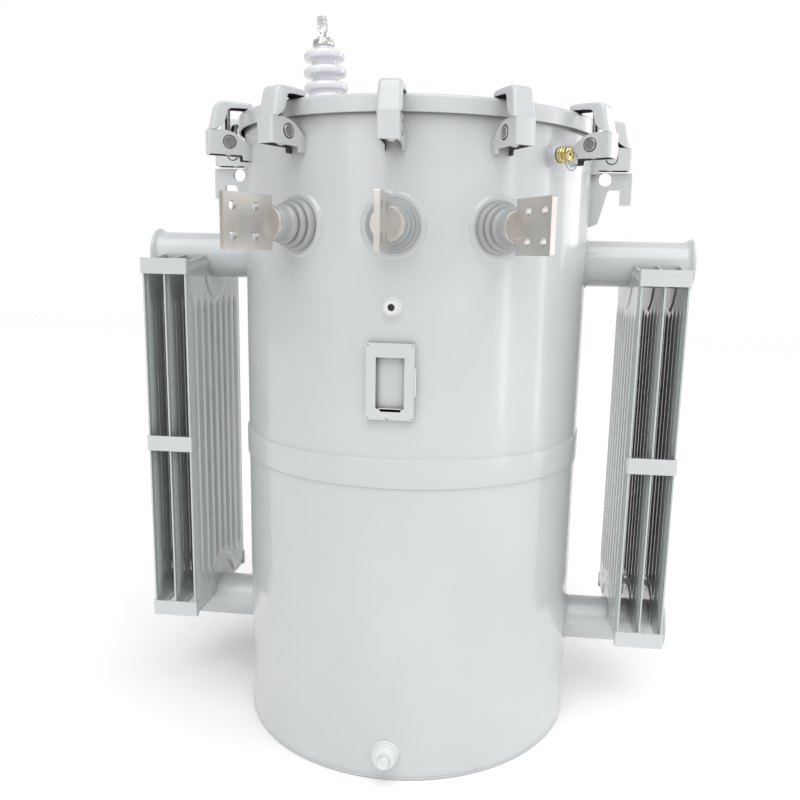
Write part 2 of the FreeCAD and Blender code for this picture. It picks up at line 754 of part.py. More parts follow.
def radiator_pieces():
    for name, azimuth in (("left", -90.0), ("right", 90.0)):
        front = 1 if azimuth < 0 else -1
        export(name + "_upper_header", turned(header_pipe(upper_header_z), azimuth))
        export(name + "_lower_header", turned(header_pipe(lower_header_z), azimuth))
        caps = [turned(header_cap(z), azimuth) for z in (upper_header_z, lower_header_z)]
        export(name + "_header_caps", *caps)
        for k in range(fin_count):
            export(name + "_fin_" + str(k + 1), turned(fin(fin_first + k * fin_pitch), azimuth))
        straps = [strap(z, front) for z in front_strap_z] + [strap(z, -front) for z in back_strap_z]
        export(name + "_straps", *[turned(one, azimuth) for one in straps])


os.makedirs("parts", exist_ok=True)
tank_pieces()
cover_pieces()
clamp_pieces()
export("lifting_lug_left", turned(lug(), -90.0))
export("lifting_lug_right", turned(lug(), 90.0))
lv_pieces()
hv_pieces()
relief_pieces()
export("level_port", level_port())
export("nameplate_frame", nameplate_frame())
drain_pieces()
radiator_pieces()
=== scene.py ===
# %% [markdown]
# # A pole-type distribution transformer
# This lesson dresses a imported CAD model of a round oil-filled transformer.  The CAD model gives every place
# and size; here each visible piece gets its rounded edges, welds, threads and finish.  Units are metres, +Z
# is up and the front, with the three low-voltage spades, looks towards -Y.

# %% Load the frame
import math
import bmesh
import bpy
import numpy as np
from mathutils import Matrix, Vector
from mathutils.geometry import delaunay_2d_cdt


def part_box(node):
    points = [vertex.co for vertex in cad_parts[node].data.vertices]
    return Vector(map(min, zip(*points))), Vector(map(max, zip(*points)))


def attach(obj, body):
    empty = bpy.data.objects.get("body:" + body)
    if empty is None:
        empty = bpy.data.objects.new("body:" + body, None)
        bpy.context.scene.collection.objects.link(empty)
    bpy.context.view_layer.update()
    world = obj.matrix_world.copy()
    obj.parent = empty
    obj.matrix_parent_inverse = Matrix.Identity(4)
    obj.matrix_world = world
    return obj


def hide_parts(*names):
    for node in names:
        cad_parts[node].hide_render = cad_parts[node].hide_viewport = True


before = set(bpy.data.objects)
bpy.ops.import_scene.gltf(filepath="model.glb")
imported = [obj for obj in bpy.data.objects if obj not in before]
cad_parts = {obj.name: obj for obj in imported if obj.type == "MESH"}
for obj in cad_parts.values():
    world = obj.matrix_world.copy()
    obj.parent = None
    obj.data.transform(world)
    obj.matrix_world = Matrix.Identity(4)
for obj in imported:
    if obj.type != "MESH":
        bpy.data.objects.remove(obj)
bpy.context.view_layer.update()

mm = 0.001
print("CAD nodes:", len(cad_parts))

# %% [markdown]
# ## Sizes read from the frame
# A piece never guesses where it goes: the boxes of the CAD nodes say how wide the tank is, how high the
# cover stands and how far the radiators reach.  Sizes that a box can't show, such as the radius of a bend,
# are named or listed where they are used.

# %% Sizes from the node boxes
def span(node, axis):
    """The lowest and highest coordinate of a CAD node along one axis, 0 for X, 1 for Y and 2 for Z."""
    low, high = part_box(node)
    return low[axis], high[axis]


def centre_of(node, axis):
    """Halfway between the lowest and highest coordinate."""
    return sum(span(node, axis)) / 2


def half_size(node, axis):
    """Half the distance between them, which is the radius of a round piece."""
    low, high = span(node, axis)
    return (high - low) / 2


COVER_THK = 4 * mm
TANK_R = span("tank_wall", 0)[1]
WALL_TOP = span("tank_wall", 2)[1]
COVER_R = span("cover", 0)[1]
RIM_LOW, CROWN_TOP = span("cover", 2)
COVER_TOP = span("cover_gasket", 2)[1] + COVER_THK
HEADER_R = half_size("right_lower_header", 2)
UPPER_Z = centre_of("right_upper_header", 2)
LOWER_Z = centre_of("right_lower_header", 2)
HEADER_END = span("right_lower_header", 0)[1]
LV_Z = centre_of("lv_bushing_centre", 2)
print("tank radius %.3f, wall top %.3f" % (TANK_R, WALL_TOP))
print("cover flat %.3f, crown %.3f" % (COVER_TOP, CROWN_TOP))

# %% [markdown]
# ## Helpers for surfaces
# Nearly every piece is one of two things: a grid of points worked out from two parameters, or a flat outline
# with holes that becomes a plate.  The grid becomes a mesh by joining each point to its neighbours, and
# merging doubled points closes seams and poles.  Pieces on the round wall are written with *out*, the
# distance from the tank's axis, and then turned to their azimuth.

# %% Points, faces and copies
def place(x, out, z, azimuth=0.0):
    """Points drawn at the front, turned about Z.  X = x cos a + out sin a,  Y = x sin a - out cos a."""
    x, out, z = np.broadcast_arrays(np.asarray(x, float), np.asarray(out, float), np.asarray(z, float))
    a = math.radians(azimuth)
    return np.stack([x * math.cos(a) + out * math.sin(a), x * math.sin(a) - out * math.cos(a), z], -1)


def add_faces(points, faces, bm=None):
    """Adds points and the faces between them to a bmesh, or to a new one."""
    bm = bm or bmesh.new()
    mesh = bpy.data.meshes.new("faces")
    mesh.from_pydata(points.reshape(-1, 3).tolist(), [], faces.tolist())
    bm.from_mesh(mesh)
    bpy.data.meshes.remove(mesh)
    return bm


def to_bmesh(points, loop_u=False, loop_v=False, into=None):
    """Adds one grid of points, shape (nu, nv, 3), to a bmesh.  Each face joins point (i, j) to its three
    neighbours at i+1 and j+1, and a looped direction comes round again."""
    nu, nv = points.shape[:2]
    rows = np.arange(nu if loop_u else nu - 1)
    columns = np.arange(nv if loop_v else nv - 1)
    i, j = np.meshgrid(rows, columns, indexing="ij")
    i2, j2 = (i + 1) % nu, (j + 1) % nv
    faces = np.stack([i * nv + j, i2 * nv + j, i2 * nv + j2, i * nv + j2], -1)
    return add_faces(points, faces.reshape(-1, 4), into)


def add_copy(bm, part, azimuth=0.0):
    """Adds a copy of one bmesh to another, turned about Z."""
    mesh = bpy.data.meshes.new("copy")
    part.to_mesh(mesh)
    mesh.transform(Matrix.Rotation(math.radians(azimuth), 4, "Z"))
    bm.from_mesh(mesh)
    bpy.data.meshes.remove(mesh)


def repeat(part, azimuths):
    """The same piece turned about Z to each azimuth, all in one bmesh."""
    bm = bmesh.new()
    for azimuth in azimuths:
        add_copy(bm, part, azimuth)
    part.free()
    return bm


def orient(bm, direction=None):
    """Merges doubled points and turns the faces outwards; an open skin is turned so that it faces a
    direction."""
    bmesh.ops.remove_doubles(bm, verts=bm.verts, dist=1e-6)
    bmesh.ops.dissolve_degenerate(bm, edges=bm.edges, dist=1e-7)
    bmesh.ops.recalc_face_normals(bm, faces=bm.faces)
    if direction is not None:
        facing = sum(f.normal.dot(Vector(direction)) * f.calc_area() for f in bm.faces)
        if facing < 0:
            bmesh.ops.reverse_faces(bm, faces=bm.faces)
    return bm


def add_object(name, data):
    """An object in the scene."""
    made = bpy.data.objects.new(name, data)
    bpy.context.scene.collection.objects.link(made)
    return made


SLOTS = {}      # the record's material slot of each finish


def finish(name, bm, material, replaces=(), slot=None, oriented=False, sheet=0.0, bevel=0.0, sharp=35.0,
           inside=None):
    """Makes the piece an object that rides on the body, with its sheet thickness and rounded edges if it has
    them.  The inside of a sheet may have a material of its own, which on the clamps paints the shade inside
    them."""
    if not oriented:
        orient(bm)
    mesh = bpy.data.meshes.new(name)
    bm.to_mesh(mesh)
    bm.free()
    mesh.shade_smooth()
    mesh.set_sharp_from_angle(angle=math.radians(sharp))
    obj = add_object(name, mesh)
    if sheet:
        solid = obj.modifiers.new("Sheet", "SOLIDIFY")
        solid.thickness = sheet
        solid.offset = -1.0
        solid.use_even_offset = True
        solid.material_offset = 1 if inside else 0
    if bevel:
        edge = obj.modifiers.new("Edges", "BEVEL")
        edge.width = bevel
        edge.segments = 2
        edge.limit_method = "ANGLE"
        edge.angle_limit = math.radians(40)
        edge.harden_normals = True
    mesh.materials.append(material)
    if inside:
        mesh.materials.append(inside)
    slot = slot or SLOTS[material.name]
    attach(obj, "root")
    if replaces:
        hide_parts(*replaces)
    print("%-24s %6d faces" % (name, len(mesh.polygons)))
    return obj

# %% Outlines, turned pieces and plates
def from_mm(rows, a=0.0, b=0.0):
    """Corners written in millimetres as (first, second, corner radius), counted from a and b."""
    return [(a + row[0] * mm, b + row[1] * mm, row[2] * mm) for row in rows]


def rounded(points, radius=0.0, steps=5, closed=True, thin=True):
    """A polyline whose corners are arcs: each corner's two tangent points and a quadratic curve between
    them.  A point may carry its own corner radius as a third number."""
    P = np.asarray([p[:2] for p in points], float)
    R = np.asarray([p[2] if len(p) > 2 else radius for p in points], float)
    before, after = np.roll(P, 1, 0) - P, np.roll(P, -1, 0) - P
    la, lb = np.linalg.norm(before, axis=1), np.linalg.norm(after, axis=1)
    reach = np.minimum(R, 0.49 * np.minimum(la, lb))
    start = P + before / np.maximum(la, 1e-12)[:, None] * reach[:, None]
    end = P + after / np.maximum(lb, 1e-12)[:, None] * reach[:, None]
    t = np.linspace(0, 1, steps)[None, :, None]
    arcs = (1 - t) ** 2 * start[:, None] + 2 * t * (1 - t) * P[:, None] + t ** 2 * end[:, None]
    if not closed:
        arcs[0], arcs[-1] = P[0], P[-1]
    flat = arcs.reshape(-1, 2)
    if not thin:
        return flat
    keep = np.r_[True, np.linalg.norm(np.diff(flat, axis=0), axis=1) > 1e-9]
    return flat[keep]


def turned(rows, base=0.0, steps=5, closed=False):
    """A lathe profile from rows of (radius, height over base, corner radius) in millimetres."""
    return rounded(from_mm(rows, b=base), steps=steps, closed=closed)


def revolve(r, h, turns, centre=(0, 0, 0), axis=(0, 0, 1), closed=False, into=None):
    """Carries radii r at heights h round an axis: point = centre + h * axis + r * (u cos t + v sin t), where
    u and v are square to the axis.  There is one r for each h, or one for each t and h."""
    axis = Vector(axis).normalized()
    u = Vector((0, 0, 1)).cross(axis) if abs(axis.z) < 0.9 else Vector((1, 0, 0))
    u.normalize()
    u, v, axis, centre = (np.array(w) for w in (u, axis.cross(u), axis, Vector(centre)))
    t = np.linspace(0, 2 * math.pi, turns, endpoint=False)[:, None, None]
    ring = u * np.cos(t) + v * np.sin(t)
    return to_bmesh(centre + h[:, None] * axis + r[..., None] * ring, True, closed, into)


def lathe(profile, turns=96, centre=(0, 0, 0), axis=(0, 0, 1), closed=False, into=None):
    """Turns a profile of (radius, height) pairs round an axis."""
    r, h = np.asarray(profile, float).T
    return revolve(r, h, turns, centre, axis, closed, into)


def lathe_out(profile, azimuth, z, turns=96, closed=False, into=None):
    """A lathe whose axis is level and points away from the tank: heights count from the tank's axis."""
    return lathe(profile, turns, (0, 0, z), tuple(place(0, 1, 0, azimuth)), closed, into)


def fill(loops, to_space, bm=None):
    """A flat skin over an outline and its holes.  Delaunay triangles join the loops' points, and a triangle
    stays where a ray from its middle crosses the loops an odd number of times."""
    loops = [np.asarray(loop, float) for loop in loops]
    starts = np.cumsum([0] + [len(loop) for loop in loops])
    edges = [(first + k, first + (k + 1) % len(loop))
             for first, loop in zip(starts, loops) for k in range(len(loop))]
    corners = [Vector(p) for p in np.concatenate(loops)]
    flat, _, faces = delaunay_2d_cdt(corners, edges, [], 0, 1e-8)[:3]
    flat, faces = np.array(flat), np.array(faces)
    middle = flat[faces].mean(1)
    crossings = np.zeros(len(faces), int)
    for loop in loops:
        p, q = loop[None], np.roll(loop, -1, 0)[None]
        mx, my = middle[:, :1], middle[:, 1:]
        spans = (p[..., 1] > my) != (q[..., 1] > my)
        rise = np.where(q[..., 1] == p[..., 1], 1.0, q[..., 1] - p[..., 1])
        hit = p[..., 0] + (my - p[..., 1]) * (q[..., 0] - p[..., 0]) / rise
        crossings += (spans & (mx < hit)).sum(1)
    return add_faces(to_space(*flat.T), faces[crossings % 2 == 1], bm)


def flat_plate(loops, thickness, to_space, bm=None):
    """Two filled skins, thickness apart, and the rims between them; to_space takes (a, b, side)."""
    half = thickness / 2
    bm = fill(loops, lambda a, b: to_space(a, b, -half), bm)
    bm = fill(loops, lambda a, b: to_space(a, b, half), bm)
    for loop in loops:
        a, b = np.asarray(loop, float).T
        to_bmesh(np.stack([to_space(a, b, -half), to_space(a, b, half)], 1), True, False, bm)
    return bm


def circle(a, b, r, steps=40):
    """Points on a circle round (a, b)."""
    t = np.linspace(0, 2 * math.pi, steps, endpoint=False)
    return np.stack([a + r * np.cos(t), b + r * np.sin(t)], -1)


def smooth(x):
    """0 below 0, 1 above 1, and 3x^2 - 2x^3 between."""
    x = np.clip(x, 0, 1)
    return x * x * (3 - 2 * x)


def bead(path, radius, normal, ripple=0.10, pitch=4 * mm, sides=8, closed=True, into=None):
    """A weld bead: a round section carried along a path, its radius rippled as the weld pool was:
    radius * (1 + ripple * cos(2 pi s / pitch))."""
    path, normal = np.asarray(path, float), np.asarray(normal, float)
    step = np.roll(path, -1, 0) - np.roll(path, 1, 0)
    if not closed:
        step[0], step[-1] = path[1] - path[0], path[-1] - path[-2]
    along = step / np.linalg.norm(step, axis=1)[:, None]
    side = np.cross(along, normal)
    side /= np.linalg.norm(side, axis=1)[:, None]
    up = np.cross(side, along)
    s = np.r_[0, np.cumsum(np.linalg.norm(np.diff(path, axis=0), axis=1))]
    waves = max(1, round(s[-1] / pitch))
    r = radius * (1 + ripple * np.cos(2 * math.pi * waves * s / s[-1]))
    if not closed:
        r[0] = r[-1] = radius * 0.05
    t = np.linspace(0, 2 * math.pi, sides, endpoint=False)
    ring = side[:, None] * np.cos(t)[None, :, None] + up[:, None] * np.sin(t)[None, :, None]
    return to_bmesh(path[:, None] + ring * r[:, None, None], closed, True, into)

# %% [markdown]
# ## Finishes
# Paint, glaze and metal all carry faint unevenness that a flat colour lacks.  Three effects are shared, so
# each is a node group with named inputs: a fine orange peel for sprayed and glazed coats, a soft mottling
# for tone, and turning or milling lines for machined metal.  Each puts out plain values, and the shader
# itself stays in the material.

# %% Shared effects
def new_group(name, inputs, outputs):
    """A shader node group with float inputs and outputs; returns its tree and its two end nodes."""
    tree = bpy.data.node_groups.new(name, "ShaderNodeTree")
    for label, value in inputs:
        sock = tree.interface.new_socket(name=label, in_out="INPUT", socket_type="NodeSocketFloat")
        sock.default_value = value
    for label in outputs:
        tree.interface.new_socket(name=label, in_out="OUTPUT", socket_type="NodeSocketFloat")
    return tree, tree.nodes.new("NodeGroupInput"), tree.nodes.new("NodeGroupOutput")


def node(tree, kind, inputs=(), **values):
    """Adds a node and sets its properties and named sockets.  Each (socket, source) of inputs is linked when
    the source is another node's output, and set when it is a number."""
    made = tree.nodes.new(kind)
    for key, value in values.items():
        if hasattr(made, key):
            setattr(made, key, value)
        else:
            made.inputs[key.replace("_", " ")].default_value = value
    for key, source in inputs:
        if isinstance(source, bpy.types.NodeSocket):
            tree.links.new(source, made.inputs[key])
        else:
            made.inputs[key].default_value = source
    return made


def maths(tree, operation, *terms, **values):
    """The result of a math node."""
    return node(tree, "ShaderNodeMath", enumerate(terms), operation=operation, **values).outputs[0]


def noise(tree, where, scale, detail):
    """A noise texture's value."""
    made = node(tree, "ShaderNodeTexNoise", [("Vector", where), ("Scale", scale)], Detail=detail)
    return made.outputs["Fac"]


def coat_group():
    """Orange peel: two noises of neighbouring sizes, the finer one at a third of the height."""
    tree, start, end = new_group("orange_peel", [("Size", 900.0), ("Height", 1.0)], ["Height"])
    where = node(tree, "ShaderNodeTexCoord").outputs["Object"]
    size = start.outputs["Size"]
    finer = maths(tree, "MULTIPLY", size, 2.7)
    coarse_peel, fine_peel = noise(tree, where, size, 1.0), noise(tree, where, finer, 1.0)
    mixed = maths(tree, "MULTIPLY_ADD", fine_peel, 0.33, coarse_peel)
    tree.links.new(maths(tree, "MULTIPLY", mixed, start.outputs["Height"]), end.inputs["Height"])
    return tree


def mottle_group():
    """Mottling: a slow noise pulled apart around its middle, 0.5 plus Contrast times the difference."""
    tree, start, end = new_group("mottle", [("Size", 6.0), ("Contrast", 1.0)], ["Mask"])
    where = node(tree, "ShaderNodeTexCoord").outputs["Object"]
    off = maths(tree, "SUBTRACT", noise(tree, where, start.outputs["Size"], 5.0), 0.5)
    mask = maths(tree, "MULTIPLY_ADD", off, start.outputs["Contrast"], 0.5, use_clamp=True)
    tree.links.new(mask, end.inputs["Mask"])
    return tree


def tooling_group():
    """Machining lines: noise stretched along one direction, so it reads as fine parallel lines."""
    tree, start, end = new_group("tooling", [("Lines", 900.0), ("Along_X", 1.0), ("Along_Z", 1.0)], ["Lines"])
    where = node(tree, "ShaderNodeTexCoord").outputs["Object"]
    along_x, along_z = start.outputs["Along_X"], start.outputs["Along_Z"]
    stretch = node(tree, "ShaderNodeCombineXYZ", [("X", along_x), ("Y", along_x), ("Z", along_z)])
    lined = node(tree, "ShaderNodeVectorMath", [(0, where), (1, stretch.outputs[0])], operation="MULTIPLY")
    lines = noise(tree, lined.outputs[0], start.outputs["Lines"], 3.0)
    tree.links.new(lines, end.inputs["Lines"])
    return tree


GROUPS = {"coat": coat_group(), "mottle": mottle_group(), "tooling": tooling_group()}


def use_group(tree, name, **values):
    """A shared effect in a material; each has one output."""
    made = tree.nodes.new("ShaderNodeGroup")
    made.node_tree = GROUPS[name]
    for key, value in values.items():
        made.inputs[key].default_value = value
    return made.outputs[0]


def ramp(tree, source, low, high):
    """A two-stop ramp, from colour low to colour high, read by a mask."""
    made = node(tree, "ShaderNodeValToRGB", [("Fac", source)])
    made.color_ramp.elements[0].color = (*low, 1)
    made.color_ramp.elements[1].color = (*high, 1)
    return made.outputs["Color"]


def remap(tree, source, low, high, **limits):
    """A value spread between two limits."""
    made = node(tree, "ShaderNodeMapRange", [("Value", source)], To_Min=low, To_Max=high, **limits)
    return made.outputs["Result"]


def finish_material(name, slot, low, high, rough, metallic=0.0, mottle=6.0, contrast=1.6, peel=None,
                    tooling=None, bump=0.0, painted_shade=None, **shader):
    """One Principled material: mottled colour between low and high, mottled roughness, and a fine bump.  A
    (distance, depth) pair for painted shade darkens the colour in corners and gaps narrower than the
    distance, by up to the depth."""
    made = bpy.data.materials.new(name)
    SLOTS[name] = slot
    made.use_nodes = True
    tree = made.node_tree
    tree.nodes.clear()
    bsdf = node(tree, "ShaderNodeBsdfPrincipled", Metallic=metallic, **shader)
    mask = use_group(tree, "mottle", Size=mottle, Contrast=contrast)
    if peel:
        relief = use_group(tree, "coat", Size=peel, Height=1.0)
    if tooling:
        relief = use_group(tree, "tooling", Lines=tooling[0], Along_X=tooling[1], Along_Z=tooling[2])
        mask = maths(tree, "MULTIPLY_ADD", relief, mask, 0.22)
    colour = ramp(tree, mask, low, high)
    # Painted shade: ambient occlusion darkens the colour in corners, gaps and under nearby parts.
    if painted_shade:
        distance, depth = painted_shade
        shade_ao = node(tree, "ShaderNodeAmbientOcclusion", samples=6, Distance=distance)
        shade_factor = remap(tree, shade_ao.outputs["AO"], 1.0 - depth, 1.0, From_Min=0.05, From_Max=0.6)
        darker = node(tree, "ShaderNodeVectorMath", [(0, colour), ("Scale", shade_factor)], operation="SCALE")
        colour = darker.outputs["Vector"]
    tree.links.new(colour, bsdf.inputs["Base Color"])
    tree.links.new(remap(tree, mask, *rough), bsdf.inputs["Roughness"])
    bumped = node(tree, "ShaderNodeBump", [("Height", relief)], Strength=bump, Distance=0.4 * mm)
    tree.links.new(bumped.outputs["Normal"], bsdf.inputs["Normal"])
    out = node(tree, "ShaderNodeOutputMaterial")
    tree.links.new(bsdf.outputs["BSDF"], out.inputs["Surface"])
    return made

# %% [markdown]
# ## The finishes
# The tank, radiators and clamps are sprayed in one coat of light grey gloss enamel.  Its copy on the fins is
# a little darker, as painted shade, and its copy on the small fittings a little lighter, as painted light;
# the insides of the clamps get a dark material, painted shade, and most finishes darken their corners and
# gaps as painted shade.
# The high-voltage bushing is glazed porcelain, the low-voltage ones a grey satin moulding with tinned spades.
# The few bare metals are the plated terminal, the dark clamp pins and the brass relief valve.  Each line
# gives the darkest and the lightest tone and the roughness.

# %% Materials
PAINT = finish_material(
    "light_grey_enamel", "tank_paint", (0.495, 0.512, 0.520), (0.550, 0.567, 0.575), (0.16, 0.25),
    mottle=5.0, peel=420.0, bump=0.10, painted_shade=(0.03, 0.85), Coat_Weight=0.35, Coat_Roughness=0.06)
# A lighter copy of the tank enamel for the level port, the drain and the nameplate stops: painted light on
# these small fittings.
LIGHTER_FITTING_PAINT = finish_material(
    "lighter_fitting_enamel", "tank_paint", (0.60, 0.615, 0.62), (0.68, 0.695, 0.70), (0.14, 0.22),
    mottle=20.0, peel=420.0, bump=0.05, painted_shade=(0.022, 0.95), Coat_Weight=0.35, Coat_Roughness=0.06)
# The fins' copy of the tank enamel is a little darker and darkens wider gaps: painted shade between the
# close-set fins.
FIN_PAINT_SHADED = finish_material(
    "radiator_enamel_shaded", "tank_paint", (0.470, 0.500, 0.503), (0.510, 0.540, 0.543), (0.14, 0.22),
    mottle=9.0, contrast=0.8, peel=380.0, bump=0.02, painted_shade=(0.06, 0.6), Coat_Weight=0.4, Coat_Roughness=0.05)
PORCELAIN = finish_material(
    "glazed_porcelain", "porcelain", (0.66, 0.67, 0.71), (0.76, 0.77, 0.80), (0.07, 0.14),
    mottle=14.0, peel=260.0, bump=0.06, Coat_Weight=0.6, Coat_Roughness=0.04)
MOULDING = finish_material(
    "grey_satin_moulding", "bushing_grey", (0.300, 0.310, 0.312), (0.365, 0.375, 0.378), (0.20, 0.30),
    mottle=22.0, peel=700.0, bump=0.06, painted_shade=(0.016, 0.95), Coat_Weight=0.2, Coat_Roughness=0.12)
TINNED = finish_material(
    "tinned_plate", "tinned_metal", (0.52, 0.498, 0.472), (0.71, 0.683, 0.652), (0.24, 0.38),
    metallic=0.9, mottle=30.0, tooling=(60.0, 1.0, 26.0), bump=0.2)
# Bright plated steel for the terminal and the studs, also used as a painted highlight on the pins' rims.
PLATED_AND_HIGHLIGHT = finish_material(
    "bright_plated_steel_and_rim_highlight", "plated_steel", (0.52, 0.50, 0.49), (0.80, 0.78, 0.76), (0.16, 0.30),
    metallic=1.0, mottle=60.0, tooling=(90.0, 1.0, 14.0), bump=0.2)
# Dark bare steel for the clamp pins, also used on the relief valve's pull ring as painted shade.
DARK_STEEL_AND_SHADE = finish_material(
    "dark_bare_steel_and_ring_shade", "dark_steel", (0.20, 0.20, 0.205), (0.42, 0.42, 0.425), (0.28, 0.46),
    metallic=0.8, mottle=70.0, tooling=(150.0, 1.0, 9.0), bump=0.3)
BRASS = finish_material(
    "turned_brass", "brass", (0.47, 0.38, 0.15), (0.70, 0.60, 0.31), (0.14, 0.26),
    metallic=1.0, mottle=60.0, tooling=(220.0, 1.0, 3.0), bump=0.2)
# A dark material for the insides of the clamp housings and hooks: painted shade inside them.
INSIDE_SHADE = finish_material(
    "painted_inside_shade", "tank_paint", (0.045, 0.048, 0.05), (0.075, 0.078, 0.08), (0.5, 0.65),
    mottle=40.0, peel=600.0, bump=0.2)
# Black rubber for the cover gasket, also used as painted shade in the level port's bore and the drain boss's
# slot.
RUBBER_AND_SHADE = finish_material(
    "black_gasket_and_hole_shade", "gasket_rubber", (0.012, 0.012, 0.013), (0.035, 0.035, 0.036), (0.7, 0.85),
    mottle=80.0, peel=1500.0, bump=0.3)
print("materials:", [m.name for m in bpy.data.materials])

# %% [markdown]
# ## Tank
# The tank is a rolled sheet with a flat bottom welded in and a flat band round its middle.  Each is a
# profile turned round the axis, which gives the paint an unbroken surface to reflect in.  The corners are
# rounded by about a millimetre, as a spray coat rounds them, and the bottom joint keeps its fine groove.

# %% Tank wall, bottom and band
WALL, TANK_TURNS, FLOOR_EDGE = 4.5 * mm, 320, 1.6 * mm
low = span("tank_bottom", 2)[1]
inner = TANK_R - WALL
shell = rounded([(TANK_R, low), (TANK_R, WALL_TOP), (inner, WALL_TOP), (inner, low)], 0.9 * mm)
finish("tank_shell", lathe(shell, TANK_TURNS, closed=True), PAINT, ["tank_wall"])
floor_plate = rounded([(0, 0, 0), (TANK_R, 0, FLOOR_EDGE), (TANK_R, low, FLOOR_EDGE), (0, low, 0)],
                      closed=False)
finish("tank_floor_plate", lathe(floor_plate, TANK_TURNS), PAINT, ["tank_bottom"])

band_low, band_high = span("tank_band", 2)
band_r = span("tank_band", 0)[1]
band = rounded([(TANK_R - WALL / 2, band_low), (band_r, band_low, 1.2 * mm), (band_r, band_high, 1.2 * mm),
                (TANK_R - WALL / 2, band_high)], 0.1 * mm)
bm = lathe(band, TANK_TURNS, closed=True)
WELD_STEPS = 640
for z in (band_low, band_high):
    path = np.c_[circle(0, 0, TANK_R, WELD_STEPS), np.full(WELD_STEPS, z)]
    bead(path, 1.7 * mm, (0, 0, 1), ripple=0.05, pitch=9 * mm, into=bm)
finish("tank_belt", bm, PAINT, ["tank_band"])

# %% [markdown]
# ## Cover
# The cover is a pressed dish: a shallow spherical crown, a flat margin that the clamps bear on, and a
# turned-down rim.  Its profile is one line from the pole to the rim and back underneath, so the sheet has
# its true thickness where the rim's lower edge shows.

# %% Cover and gasket
FLAT, CROWN = 31 * mm, CROWN_TOP - COVER_TOP
dome_r = COVER_R - FLAT
DOME_RADIUS = (dome_r ** 2 + CROWN ** 2) / (2 * CROWN)


def dome(r):
    """Height of the crown at radius r: the sphere's centre plus the root of radius squared less r squared."""
    return COVER_TOP + CROWN - DOME_RADIUS + np.sqrt(DOME_RADIUS ** 2 - np.asarray(r, float) ** 2)


across = np.linspace(0, dome_r, 24)
upper = np.stack([across, dome(across)], -1)
under = upper[::-1] - [0, COVER_THK]
rim_in, underside = COVER_R - COVER_THK, COVER_TOP - COVER_THK
edge = rounded([(dome_r, COVER_TOP, 8 * mm), (COVER_R, COVER_TOP, 6 * mm), (COVER_R, RIM_LOW, 1.2 * mm),
                (rim_in, RIM_LOW, 1.2 * mm), (rim_in, underside, 2 * mm), (dome_r, underside)],
               1 * mm, steps=8, closed=False)
finish("cover_dish", lathe(np.concatenate([upper, edge[1:-1], under]), TANK_TURNS), PAINT,
       ["cover"], sharp=50)

g_low, g_high = span("cover_gasket", 2)
g_out = span("cover_gasket", 0)[1]
g_in, bulge = g_out - 12 * mm, 0.8 * mm
gasket = rounded([(g_out, g_low), (g_out + bulge, (g_low + g_high) / 2), (g_out, g_high), (g_in, g_high),
                  (g_in, g_low)], 0.6 * mm)
finish("cover_seal", lathe(gasket, 240, closed=True), RUBBER_AND_SHADE, ["cover_gasket"])

# %% [markdown]
# ## Cover clamps
# Twelve clamps hold the cover down.  Each has a housing, a U-bent sheet welded to the wall, and a hook, a
# pressed channel that grips the cover's edge.  A stud pulls the two together through a round pin.  The
# housing is drawn as the outer skin of its sheet and thickened inwards, so its bends come out round, as on a
# press brake.  The hook is a closed channel section carried along its side profile, with flanges that follow
# a curve of their own.

# %% Clamp housings
CLAMPS = [30.0 * k for k in range(12)]
FRONT = span("clamp_housings", 0)[1]
LEG_LOW, CLAMP_TOP = span("clamp_housings", 2)
CLAMP_LOW = LEG_LOW + 8 * mm
CLAMP_HALF = 17 * mm
PIN_OUT = TANK_R + 36 * mm
PIN_Z = centre_of("clamp_pins", 2)
PIN_R = half_size("clamp_pins", 2)
PIN_HOLE_GAP = 1.9 * mm


def clamp_housing():
    """Two cheeks with a pin hole and the bent front that joins them, as one open skin."""
    bend, root, leg = 5 * mm, TANK_R - 1.5 * mm, TANK_R + 13 * mm
    edge = FRONT - 2 * bend
    cheek = rounded([(edge, CLAMP_TOP, 0), (TANK_R + 30 * mm, CLAMP_TOP, 16 * mm),
                     (root, CLAMP_TOP - 26 * mm, 2 * mm), (root, LEG_LOW, 0), (leg, LEG_LOW, 1.5 * mm),
                     (leg + 1 * mm, CLAMP_LOW, 2 * mm), (edge, CLAMP_LOW, 0)], steps=6)
    loops = [cheek, circle(PIN_OUT, PIN_Z, PIN_R + PIN_HOLE_GAP, 36)]
    bm = bmesh.new()
    for side in (-CLAMP_HALF, CLAMP_HALF):
        fill(loops, lambda out, z, x=side: place(x, out, z), bm)
    x, out = rounded([(-CLAMP_HALF, edge), (-CLAMP_HALF, FRONT), (CLAMP_HALF, FRONT), (CLAMP_HALF, edge)],
                     bend, steps=7, closed=False).T
    front = np.stack([place(x, out, z) for z in (CLAMP_LOW, CLAMP_TOP)], 1)
    return orient(to_bmesh(front, into=bm), (0, -1, 0))


# The housings' inner skin takes the dark material, painted shade inside them.
finish("clamp_boxes", repeat(clamp_housing(), CLAMPS), PAINT, ["clamp_housings"],
       oriented=True, sheet=4 * mm, bevel=0.9 * mm, inside=INSIDE_SHADE)

# %% Clamp hooks
HOOK_TOP = span("clamp_hooks", 2)[1]
QUARTER = 7     # points in a quarter of the channel section, from the flange's edge to the middle


